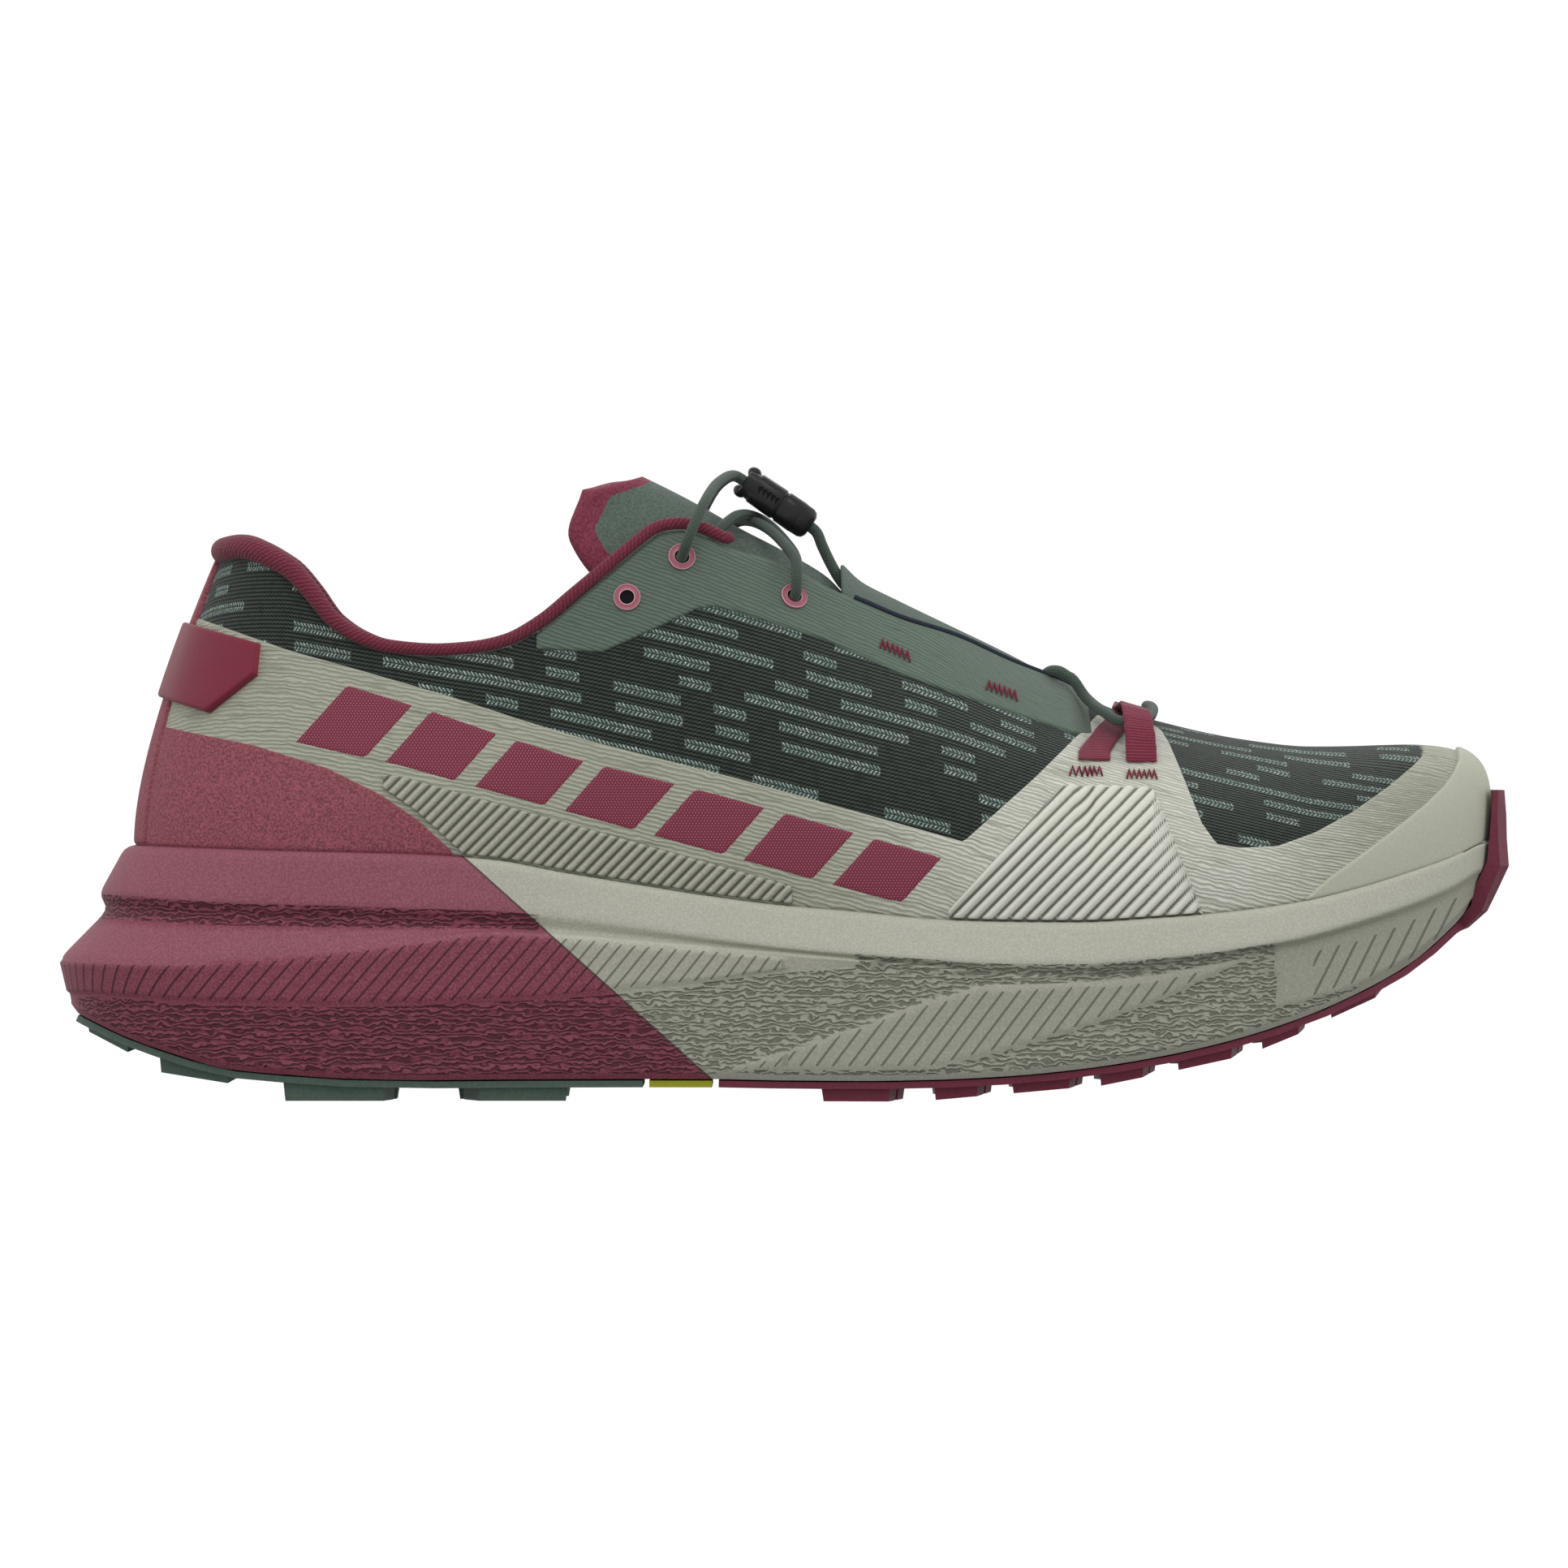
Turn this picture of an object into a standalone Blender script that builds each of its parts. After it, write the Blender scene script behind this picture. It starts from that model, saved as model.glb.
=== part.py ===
"""A right trail running shoe: two-part midsole and outsole, knitted upper with overlays, and its lacing.

The shoe stands on its lugs at z = 0, its toe points along +X and its outer side faces -Y.
Tables hold shares of the named sizes. A station is a share of LENGTH from the heel's rearmost point.
"""

import math

import bmesh
import bpy
import numpy as np
from mathutils import Matrix, Vector

# Driving sizes of the shoe, in metres
LENGTH = 0.280
SOLE_WIDTH = 0.099
STACK = 0.049
COLLAR_HEIGHT = 0.108
HEEL_REST_X = 0.058

# Walls, layers and clearances
CLEARANCE = 0.0003
UPPER_WALL = 0.0022
COLLAR_PAD = 0.0050
OVERLAY = 0.0005
BAND_SEAT = 0.00074
TOE_SEAT = 0.00055
TAB_THICK = 0.0012
TONGUE_THICK = 0.0032
POCKET_THICK = 0.0008
INSOLE_THICK = 0.0035
INSOLE_GAP = 0.0012
RUBBER = 0.0013
EDGE_BEVEL = 0.0013

# Relief of the sole's side
RIB_PITCH = 0.0048
RIB_WIDTH = 0.0010
RIB_DEPTH = 0.0009

# Lacing
CORD = 0.0021
EYELET_RADIUS = 0.0026
EYELET_HOLE = 0.0014
EYELET_HEIGHT = 0.0007
EYELET_SIDES = 8
WEBBING_WIDTH = 0.0053
WEBBING_THICK = 0.0006
WEBBING_SEAT = 0.0022
PIPING = 0.0023
PIPING_END = 0.455
PIPING_POINTS = 26
PIPING_SPACING = 0.0062
TOGGLE_LENGTH = 0.0125
TOGGLE_CAP = 0.0030
TOGGLE_WIDTH = 0.0090
TOGGLE_THICK = 0.0064

OUTER, INNER = -1, 1


def table(columns, *rows):
    return {name: np.array(values) for name, values in zip(columns.split(), zip(*rows))}


# Plan of the sole at its widest: full width and its middle line, as shares of SOLE_WIDTH
PLAN = table(
    "station width middle",
    (0.00, 0.747, 0.000),
    (0.15, 0.747, 0.000),
    (0.25, 0.747, 0.000),
    (0.35, 0.697, -0.015),
    (0.45, 0.687, -0.040),
    (0.55, 0.788, -0.050),
    (0.65, 0.929, -0.030),
    (0.72, 1.000, 0.005),
    (0.80, 0.970, 0.040),
    (0.88, 0.930, 0.080),
    (0.94, 0.870, 0.105),
    (1.00, 0.810, 0.120),
)
HEEL_ROUND = 0.13
TOE_ROUND = 0.20

# Side of the sole: heights of its lines as shares of STACK
SIDE = table(
    "station rim lip groove flare band bottom bed",
    (0.00, 1.000, 0.810, 0.745, 0.557, 0.400, 0.370, 0.66),
    (0.02, 1.000, 0.810, 0.743, 0.551, 0.406, 0.320, 0.66),
    (0.05, 1.000, 0.803, 0.740, 0.547, 0.400, 0.245, 0.66),
    (0.08, 0.995, 0.790, 0.730, 0.546, 0.386, 0.187, 0.66),
    (0.12, 0.987, 0.778, 0.717, 0.556, 0.377, 0.125, 0.66),
    (0.16, 0.980, 0.770, 0.710, 0.572, 0.372, 0.103, 0.66),
    (0.20, 0.975, 0.765, 0.700, 0.592, 0.370, 0.088, 0.65),
    (0.25, 0.967, 0.756, 0.690, 0.627, 0.377, 0.082, 0.65),
    (0.30, 0.947, 0.747, 0.682, 0.660, 0.390, 0.084, 0.64),
    (0.35, 0.895, 0.718, 0.660, 0.648, 0.406, 0.085, 0.62),
    (0.40, 0.848, 0.678, 0.636, 0.624, 0.430, 0.086, 0.59),
    (0.45, 0.803, 0.635, 0.612, 0.600, 0.461, 0.086, 0.56),
    (0.50, 0.767, 0.598, 0.586, 0.574, 0.500, 0.082, 0.53),
    (0.55, 0.742, 0.573, 0.561, 0.549, 0.520, 0.081, 0.50),
    (0.60, 0.715, 0.553, 0.535, 0.523, 0.505, 0.086, 0.47),
    (0.65, 0.705, 0.541, 0.496, 0.484, 0.472, 0.100, 0.46),
    (0.70, 0.703, 0.538, 0.503, 0.491, 0.479, 0.127, 0.45),
    (0.75, 0.718, 0.556, 0.530, 0.518, 0.506, 0.170, 0.455),
    (0.80, 0.740, 0.586, 0.574, 0.562, 0.550, 0.231, 0.48),
    (0.85, 0.778, 0.634, 0.622, 0.610, 0.598, 0.318, 0.53),
    (0.89, 0.830, 0.695, 0.683, 0.671, 0.659, 0.412, 0.61),
    (0.93, 0.898, 0.767, 0.755, 0.743, 0.731, 0.535, 0.71),
    (0.96, 0.957, 0.837, 0.825, 0.813, 0.800, 0.675, 0.83),
    (0.98, 1.010, 0.900, 0.888, 0.876, 0.862, 0.790, 0.90),
    (1.00, 1.037, 0.930, 0.915, 0.900, 0.885, 0.850, 0.95),
)

# Lines round the midsole: ends as stations, insets from the widest plan as shares of SOLE_WIDTH
RAILS = {
    "bed": dict(start=0.062, end=0.966, height="bed", heel_inset=0.075, ball_inset=0.072),
    "rim_inner": dict(start=0.053, end=0.9865, height="rim", heel_inset=0.046, ball_inset=0.040),
    "rim_outer": dict(start=0.046, end=0.9900, height="rim", heel_inset=0.034, ball_inset=0.027),
    "lip": dict(start=0.0275, end=0.9880, height="lip", heel_inset=0.020, ball_inset=0.000),
    "groove": dict(start=0.032, end=0.9850, height="groove", heel_inset=0.028, ball_inset=0.012),
    "flare": dict(start=0.000, end=0.9840, height="flare", heel_inset=0.000, ball_inset=0.011),
    "band": dict(start=0.0065, end=0.9830, height="band", heel_inset=0.010, ball_inset=0.013),
    "edge": dict(start=0.0072, end=0.9810, height="bottom", heel_inset=0.020, ball_inset=0.024),
    "bottom": dict(start=0.0125, end=0.9760, height="bottom", heel_inset=0.033, ball_inset=0.038),
}
INSET_CHANGE = (0.30, 0.62)

# Shares of the way round one side, heel to toe, at which the sole and upper have a section
ROUND = (
    0, 0.005, 0.014, 0.03, 0.055, 0.09, 0.125, 0.165, 0.21, 0.25, 0.30, 0.34, 0.375, 0.41, 0.45,
    0.50, 0.545, 0.60, 0.65, 0.692, 0.706, 0.735, 0.79, 0.84, 0.885, 0.925, 0.955, 0.978, 0.992, 1.0,
)

# Edges of the grooved bands ahead of the heel, in side view, as shares of STACK
MIDDLE_BAND_TOP = table(
    "station height",
    (0.448, 0.1014), (0.520, 0.2358), (0.548, 0.2887), (0.591, 0.3791), (0.633, 0.4474), (0.685, 0.4584),
    (0.729, 0.4717), (0.757, 0.4937), (0.813, 0.551),
)
MIDDLE_BAND_BOTTOM = table(
    "station height",
    (0.448, 0.1102), (0.594, 0.1234), (0.643, 0.1873), (0.700, 0.2843), (0.757, 0.3989), (0.813, 0.551),
)
TOE_BAND_TOP = table("station height", (0.838, 0.5687), (0.895, 0.6436), (0.924, 0.7009), (0.975, 0.842))
TOE_BAND_BOTTOM = table(
    "station height", (0.838, 0.3637), (0.895, 0.4518), (0.930, 0.5356), (0.952, 0.6282), (0.975, 0.7604)
)

# Where the midsole's two foams meet: a slanted plane through the stations "top" and "bottom", at the
# heights that the rim and the underside have at the station "level"
FOAM_SPLIT = {"top": 0.2786, "bottom": 0.4500, "level": 0.25}

# Top of the upper against the way round: its station, half gap and middle as shares of SOLE_WIDTH
TOP = table(
    "round station gap middle",
    (0.00, 0.1130, 0.000, 0.000),
    (0.02, 0.1150, 0.080, 0.000),
    (0.05, 0.1260, 0.150, 0.000),
    (0.10, 0.1560, 0.222, 0.000),
    (0.15, 0.1920, 0.260, 0.000),
    (0.20, 0.2370, 0.275, 0.000),
    (0.25, 0.2850, 0.275, 0.000),
    (0.30, 0.3300, 0.265, 0.000),
    (0.35, 0.3730, 0.250, 0.000),
    (0.40, 0.4150, 0.225, 0.000),
    (0.45, 0.4560, 0.200, 0.000),
    (0.50, 0.5000, 0.170, 0.000),
    (0.55, 0.5500, 0.145, 0.000),
    (0.60, 0.6000, 0.125, 0.002),
    (0.65, 0.6500, 0.105, 0.005),
    (0.692, 0.6930, 0.080, 0.008),
    (0.706, 0.7060, 0.000, 0.010),
    (0.75, 0.7450, 0.000, 0.020),
    (0.80, 0.7850, 0.000, 0.040),
    (0.90, 0.8450, 0.000, 0.070),
    (1.00, 0.8850, 0.000, 0.100),
)

# Top line of the upper in side view, as shares of COLLAR_HEIGHT
TOPLINE = table(
    "station height",
    (0.110, 0.975), (0.127, 0.982), (0.156, 0.948), (0.174, 0.896), (0.186, 0.852), (0.206, 0.815),
    (0.229, 0.794), (0.261, 0.787), (0.286, 0.791), (0.310, 0.804), (0.335, 0.839), (0.359, 0.890),
    (0.384, 0.944), (0.404, 0.987), (0.416, 1.008), (0.429, 1.012), (0.441, 1.005), (0.463, 0.981),
    (0.496, 0.957), (0.534, 0.907), (0.550, 0.890), (0.580, 0.857), (0.618, 0.825), (0.655, 0.781),
    (0.692, 0.742), (0.706, 0.722), (0.727, 0.696), (0.754, 0.677), (0.785, 0.657), (0.811, 0.643),
    (0.850, 0.629), (0.900, 0.626),
)

# How a section of the upper bulges: handles up from the rim and down from the top as shares of
# COLLAR_HEIGHT, outward ones as shares of SOLE_WIDTH
BULGE = table(
    "round rise rim_out drop top_out",
    (0.00, 0.160, 0.000, 0.075, 0.037),
    (0.20, 0.130, 0.020, 0.130, 0.025),
    (0.35, 0.185, 0.025, 0.165, 0.040),
    (0.50, 0.200, 0.030, 0.110, 0.090),
    (0.60, 0.230, 0.038, 0.074, 0.140),
    (0.70, 0.220, 0.038, 0.037, 0.180),
    (0.75, 0.200, 0.030, 0.010, 0.230),
    (0.85, 0.180, 0.020, 0.000, 0.250),
    (1.00, 0.150, 0.008, -0.022, 0.285),
)
BULGE_STEPS = 8

# Thickness of the upper's wall, from the plain wall (0) to the padded collar (1), round one side
PADDING = table("round share", (0.0, 1.0), (0.30, 1.0), (0.42, 0.30), (0.50, 0.0), (1.0, 0.0))
PAD_LEVEL = 0.45
UPPER_LEVELS = BULGE_STEPS + 2

# Edges of the overlays in side view: stations, and shares of the height from STACK to COLLAR_HEIGHT
COUNTER_TOP = table(
    "station height",
    (0.000, 0.4142), (0.065, 0.3941), (0.137, 0.3245), (0.187, 0.2495), (0.224, 0.1635), (0.249, 0.0829),
    (0.2785, -0.0434), (0.3000, -0.1349),
)
BAND_TOP = table(
    "station height",
    (0.000, 0.7529), (0.094, 0.7437), (0.161, 0.6321), (0.204, 0.5753), (0.273, 0.4801), (0.322, 0.4033),
    (0.372, 0.3319), (0.466, 0.2184), (0.537, 0.125), (0.622, 0.0115), (0.670, 0.2147), (0.715, 0.4216),
    (0.757, 0.3813), (0.764, 0.3264), (0.785, 0.0701), (0.795, 0.0042), (0.811, -0.0086), (0.837, -0.0031),
    (0.863, 0.0408), (0.889, 0.1067), (0.914, 0.1873), (0.932, 0.255), (0.940, 0.2916), (0.942, 0.4508),
)
BAND_BOTTOM = table(
    "station height",
    (0.000, 0.4362), (0.065, 0.4161), (0.137, 0.3465), (0.187, 0.2715), (0.224, 0.2403), (0.236, 0.2367),
    (0.297, 0.1616), (0.367, 0.0719), (0.438, -0.0214), (0.509, -0.1093), (0.571, -0.1953), (0.585, -0.2814),
    (0.600, -0.2814), (0.608, -0.199), (0.689, 0.2129), (0.752, 0.2001), (0.790, -0.2081), (0.800, -0.2814),
    (0.840, -0.2264), (0.854, -0.1459), (0.874, -0.0745), (0.895, -0.0049), (0.916, 0.0683), (0.938, 0.1488),
    (0.952, 0.2111), (0.960, 0.255), (0.9645, 0.3007), (0.9655, 0.4875),
)
TOE_CAP_TOP = table(
    "station height",
    (0.850, -0.2081), (0.854, -0.1752), (0.874, -0.0965), (0.895, -0.0269), (0.916, 0.0463), (0.938, 0.1268),
    (0.952, 0.1873), (0.960, 0.233), (0.965, 0.2788), (0.966, 0.4875),
)
REAR_RIBS_TOP = table(
    "station height", (0.226, 0.2294), (0.236, 0.2257), (0.297, 0.1452), (0.367, 0.0555), (0.438, -0.0379), (0.571, -0.2118)
)
REAR_RIBS_BOTTOM = table("station height", (0.226, 0.1799), (0.249, 0.1049), (0.2785, -0.0214), (0.300, -0.2814))
FRONT_RIBS_TOP = table(
    "station height", (0.608, -0.2264), (0.689, 0.1909), (0.751, 0.1799), (0.785, -0.2209)
)
EYESTAY_BOTTOM = table(
    "station height",
    (0.319, 0.6394), (0.375, 0.6266), (0.409, 0.698), (0.440, 0.7675), (0.452, 0.7748), (0.467, 0.7565),
    (0.526, 0.6687), (0.581, 0.5515), (0.631, 0.4673), (0.697, 0.363), (0.706, 0.3557),
)
TAB_TOP = table("station height", (0.000, 0.7401), (0.081, 0.7364), (0.160, 0.6266))
TAB_BOTTOM = table("station height", (0.000, 0.5149), (0.062, 0.4911), (0.107, 0.4252), (0.160, 0.6247))
# How far each overlay reaches round one side, as shares of the way from heel to toe
OVERLAY_SPAN = {
    "heel_counter": (0.0, 0.235),
    "toe_cap": (0.865, 1.0),
    "side_band": (0.0, 0.96),
    "ribs_rear": (0.195, 0.545),
    "ribs_front": (0.603, 0.787),
    "eyestay": (0.300, 0.692),
    "pull_tab": (0.0, 0.088),
}
# Lowest level of an overlay on the wall, just over the rim of the sole
OVERLAY_FOOT = 1.10
# Steps in which an edge is followed between two columns, and the least distance between columns
CROSSING_STEPS = 9
CROSSING_MARGIN = 0.12

# Tread: lowest line of the lugs as shares of STACK, and the rows of lugs
TREAD = table(
    "station height",
    (0.010, 0.300), (0.021, 0.265), (0.050, 0.188), (0.072, 0.110), (0.120, 0.069), (0.132, 0.050), (0.157, 0.0),
    (0.352, 0.0), (0.505, 0.012), (0.520, 0.0), (0.586, 0.0), (0.610, 0.010), (0.650, 0.031),
    (0.720, 0.065), (0.743, 0.092), (0.772, 0.128), (0.790, 0.137), (0.839, 0.228), (0.858, 0.275),
    (0.875, 0.326), (0.906, 0.400), (0.941, 0.528), (0.960, 0.630),
)
# Edge and middle lugs: stations of both ends at the rim of the sole, forward step towards the middle
LUG_ROWS = table(
    "rear front lead rows",
    (0.021, 0.050, 0.000, 1),
    (0.072, 0.120, 0.000, 2),
    (0.157, 0.227, 0.010, 3),
    (0.290, 0.352, -0.020, 3),
    (0.525, 0.572, 0.012, 4),
    (0.602, 0.632, 0.012, 4),
    (0.655, 0.695, 0.012, 4),
    (0.715, 0.745, 0.012, 4),
    (0.768, 0.806, 0.012, 4),
    (0.826, 0.852, 0.010, 3),
    (0.874, 0.906, 0.008, 2),
)
LUG_MARGIN = 0.0012
LUG_GAP = 0.0050
LUG_TAPER = 0.0006

# Rubber on the sole, by station
HEEL_RUBBER = (0.0135, 0.403)
INSERT_RUBBER = (0.4075, 0.4505)
FOREFOOT_RUBBER_START = 0.455
INSERT_GAP = 0.035
# Stations between the ends of the rubbers, closer where they curve
HEEL_RUBBER_STATIONS = (0.018, 0.026, 0.036, 0.050, 0.070, 0.095, 0.125, 0.16, 0.20, 0.26, 0.33)
FOREFOOT_RUBBER_STATIONS = (
    0.49, 0.53, 0.57, 0.61, 0.65, 0.69, 0.73, 0.765, 0.80, 0.835, 0.87, 0.90, 0.925, 0.945, 0.96
)
# Bumper up the toe: inner face, half width, setback at its sides and thickness
BUMPER = table(
    "station height half setback thick",
    (0.9690, 0.698, 0.100, 0.0036, 0.0018),
    (0.9790, 0.760, 0.103, 0.0054, 0.0024),
    (0.9845, 0.845, 0.106, 0.0071, 0.0029),
    (0.9925, 0.931, 0.106, 0.0078, 0.0027),
    (0.9943, 1.027, 0.101, 0.0078, 0.0017),
    (0.9957, 1.122, 0.096, 0.0078, 0.0012),
    (0.9953, 1.216, 0.086, 0.0057, 0.0009),
)

# Tongue along its middle: station and height (of COLLAR_HEIGHT), half width, how far its sides lie
# back (of SOLE_WIDTH) and down (of COLLAR_HEIGHT)
TONGUE = table(
    "station height half back down",
    (0.735, 0.640, 0.090, 0.000, 0.012),
    (0.700, 0.690, 0.105, 0.000, 0.020),
    (0.665, 0.740, 0.125, 0.000, 0.035),
    (0.625, 0.785, 0.150, 0.000, 0.052),
    (0.590, 0.828, 0.170, 0.010, 0.080),
    (0.555, 0.868, 0.180, 0.030, 0.115),
    (0.528, 0.935, 0.185, 0.060, 0.150),
    (0.500, 0.978, 0.190, 0.110, 0.170),
    (0.468, 1.021, 0.190, 0.160, 0.150),
    (0.443, 1.058, 0.185, 0.195, 0.120),
    (0.421, 1.088, 0.170, 0.180, 0.085),
    (0.402, 1.112, 0.145, 0.100, 0.033),
)
TONGUE_COLUMNS = 7

# Pocket on the instep: its middle line, half width and the fall to its edges
POCKET = table(
    "station height half down",
    (0.5405, 0.954, 0.110, 0.052),
    (0.5525, 0.925, 0.110, 0.048),
    (0.580, 0.888, 0.110, 0.042),
    (0.612, 0.848, 0.098, 0.030),
    (0.655, 0.794, 0.084, 0.020),
    (0.684, 0.754, 0.066, 0.014),
)
POCKET_COLUMNS = 7

# Eyelets in side view: station and height (of COLLAR_HEIGHT)
EYELETS = table("station height", (0.4293, 0.964), (0.3921, 0.892), (0.5057, 0.893))

# Lacing of the outer side, mirrored for the inner one: station, share of SOLE_WIDTH outward,
# share of COLLAR_HEIGHT
CROSSING = (
    (0.5066, 0.225, 0.914), (0.5086, 0.218, 0.937), (0.5075, 0.195, 0.966), (0.5000, 0.150, 0.994),
    (0.4890, 0.080, 1.022), (0.4771, 0.000, 1.037), (0.4671, -0.060, 1.036), (0.4580, -0.110, 1.018),
    (0.4500, -0.136, 0.998),
)
LACE_END = (
    (0.4300, 0.262, 0.968), (0.4330, 0.268, 0.990), (0.4385, 0.262, 1.025), (0.4450, 0.225, 1.062),
    (0.4520, 0.150, 1.092), (0.4590, 0.080, 1.108), (0.4640, 0.040, 1.113), (0.4685, 0.026, 1.110),
)
LACE_TAIL = (
    (0.5215, 0.018, 1.0140), (0.5260, 0.020, 0.988), (0.5325, 0.024, 0.953), (0.5400, 0.028, 0.9215),
    (0.5500, 0.030, 0.8960), (0.5600, 0.030, 0.877),
)
# Front of the lacing: station, share of SOLE_WIDTH outward, and its middle's height over the wall
FRONT_LACE = (
    (0.6945, 0.125, 0.0027), (0.6990, 0.130, 0.0027), (0.7060, 0.138, 0.0029), (0.7125, 0.165, 0.0032),
    (0.7195, 0.215, 0.0043), (0.7265, 0.245, 0.0050), (0.7350, 0.252, 0.0048), (0.7425, 0.222, 0.0036),
    (0.7505, 0.170, 0.0030), (0.7535, 0.110, 0.0028), (0.7525, 0.060, 0.0025), (0.7505, 0.020, 0.0023),
    (0.7500, -0.010, 0.0023),
)
# Webbing loop in side view: station, height and seat over the wall's layers, from foot to apex
WEBBING_REAR = table(
    "station height lift",
    (0.7080, 0.594, 0.0), (0.7160, 0.622, 0.0), (0.7230, 0.645, 0.0), (0.7290, 0.660, 0.0),
    (0.7340, 0.672, 0.0),
)
WEBBING_FRONT = table(
    "station height lift",
    (0.7440, 0.587, 0.0), (0.7425, 0.610, 0.0021), (0.7400, 0.632, 0.0039), (0.7385, 0.643, 0.0043),
    (0.7370, 0.651, 0.0040), (0.7345, 0.672, 0.0001),
)

# Cord lock: middles of its two ends
TOGGLE_REAR = (0.4725, 1.104)
TOGGLE_FRONT = (0.5165, 1.0255)

COLOURS = {
    "burgundy_foam": (0.235, 0.055, 0.085, 0.75),
    "beige_foam": (0.40, 0.40, 0.32, 0.75),
    "green_rubber": (0.075, 0.115, 0.090, 0.80),
    "burgundy_rubber": (0.150, 0.025, 0.045, 0.80),
    "yellow_rubber": (0.32, 0.32, 0.02, 0.70),
    "dark_knit": (0.025, 0.040, 0.034, 0.90),
    "beige_knit": (0.42, 0.43, 0.35, 0.85),
    "beige_film": (0.44, 0.44, 0.36, 0.60),
    "lining": (0.030, 0.040, 0.036, 0.95),
    "burgundy_film": (0.20, 0.035, 0.065, 0.55),
    "green_film": (0.100, 0.135, 0.110, 0.65),
    "crimson_tape": (0.30, 0.02, 0.06, 0.80),
    "pink_metal": (0.50, 0.14, 0.20, 0.40),
    "cord_green": (0.050, 0.075, 0.058, 0.85),
    "black_plastic": (0.010, 0.010, 0.010, 0.40),
}


def smooth(at, stations, values):
    """Value on a curve through the table's points that never overshoots them."""
    at = np.clip(np.asarray(at, float), stations[0], stations[-1])
    steps = np.diff(stations)
    slopes = np.diff(values) / steps
    tangents = np.zeros(len(values))
    product = slopes[:-1] * slopes[1:]
    turning = product > 0
    sums = np.where(turning, slopes[:-1] + slopes[1:], 1.0)
    tangents[1:-1] = np.where(turning, 2 * product / sums, 0.0)
    tangents[0], tangents[-1] = slopes[0], slopes[-1]
    i = np.clip(np.searchsorted(stations, at) - 1, 0, len(steps) - 1)
    t = (at - stations[i]) / steps[i]
    h = steps[i]
    return (
        values[i] * (1 + 2 * t) * (1 - t) ** 2
        + h * tangents[i] * t * (1 - t) ** 2
        + values[i + 1] * t * t * (3 - 2 * t)
        - h * tangents[i + 1] * t * t * (1 - t)
    )


def side_height(column, x):
    """Height of one of the lines of the sole's side."""
    return STACK * smooth(x / LENGTH, SIDE["station"], SIDE[column])


def edge_height(edge, x):
    """Height of an overlay's edge, straight between its points."""
    return STACK + (COLLAR_HEIGHT - STACK) * np.interp(x / LENGTH, edge["station"], edge["height"])


def band_height(edge, x):
    """Height of the edge of a grooved band, straight between its points."""
    return STACK * np.interp(x / LENGTH, edge["station"], edge["height"])


def closing(share):
    """Round ends of the plan: 0 at heel and toe, 1 between them."""
    heel = max(0.0, 1 - share / HEEL_ROUND)
    toe = max(0.0, 1 - (1 - share) / TOE_ROUND)
    return math.sqrt(max(0.0, 1 - heel**2)) * math.sqrt(max(0.0, 1 - toe**2))


def rail_point(name, share, side, inset=0.0):
    """Point of a line round the sole, at a share of its way from heel to toe."""
    rail = RAILS[name]
    start = rail["start"] * LENGTH + inset
    end = rail["end"] * LENGTH - inset
    x = start + (end - start) * share
    blend = float(smooth(share, np.array(INSET_CHANGE), np.array([0.0, 1.0])))
    own = rail["heel_inset"] + (rail["ball_inset"] - rail["heel_inset"]) * blend
    width = SOLE_WIDTH * float(smooth(share, PLAN["station"], PLAN["width"]))
    middle = SOLE_WIDTH * float(smooth(share, PLAN["station"], PLAN["middle"]))
    half = (width / 2 - own * SOLE_WIDTH - inset) * closing(share)
    z = float(side_height(rail["height"], x))
    if name == "edge":
        z += EDGE_BEVEL
    return np.array([x - HEEL_REST_X, middle + side * half, z])


def outward(share, side):
    """Direction away from the shoe in plan, at a share of the way round."""
    if share <= 0 or share >= 1:
        return np.array([-1.0 if share <= 0 else 1.0, 0.0, 0.0])
    reach = min(0.006, share, 1 - share)
    along = rail_point("rim_inner", share + reach, side) - rail_point("rim_inner", share - reach, side)
    normal = np.array([along[1], -along[0], 0.0]) * -side
    return normal / np.linalg.norm(normal)


def loop_columns():
    """Sides and shares once round the shoe: outer side heel to toe, inner side back to the heel."""
    return [(OUTER, share) for share in ROUND] + [(INNER, share) for share in ROUND[-2:0:-1]]


def upper_column(side, share):
    """Outer face of the upper from its feather edge to its top, at a share of the way round."""
    feather = rail_point("bed", share, side, CLEARANCE)
    feather[2] += CLEARANCE
    rim = rail_point("rim_inner", share, side, CLEARANCE)
    rim[2] += CLEARANCE
    station = float(smooth(share, TOP["round"], TOP["station"]))
    gap = SOLE_WIDTH * float(smooth(share, TOP["round"], TOP["gap"]))
    middle = SOLE_WIDTH * float(smooth(share, TOP["round"], TOP["middle"]))
    height = COLLAR_HEIGHT * float(smooth(station, TOPLINE["station"], TOPLINE["height"]))
    top = np.array([station * LENGTH - HEEL_REST_X, middle + side * gap, height])
    away = outward(share, side)
    up = np.array([0.0, 0.0, 1.0])
    rise, rim_out, drop, top_out = (
        float(smooth(share, BULGE["round"], BULGE[key])) for key in ("rise", "rim_out", "drop", "top_out")
    )
    low = rim + away * rim_out * SOLE_WIDTH + up * rise * COLLAR_HEIGHT
    high = top + away * top_out * SOLE_WIDTH - up * drop * COLLAR_HEIGHT
    points = [feather]
    for step in range(BULGE_STEPS + 1):
        t = step / BULGE_STEPS
        points.append((1 - t) ** 3 * rim + 3 * t * (1 - t) ** 2 * low + 3 * t * t * (1 - t) * high + t**3 * top)
    return points


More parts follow.
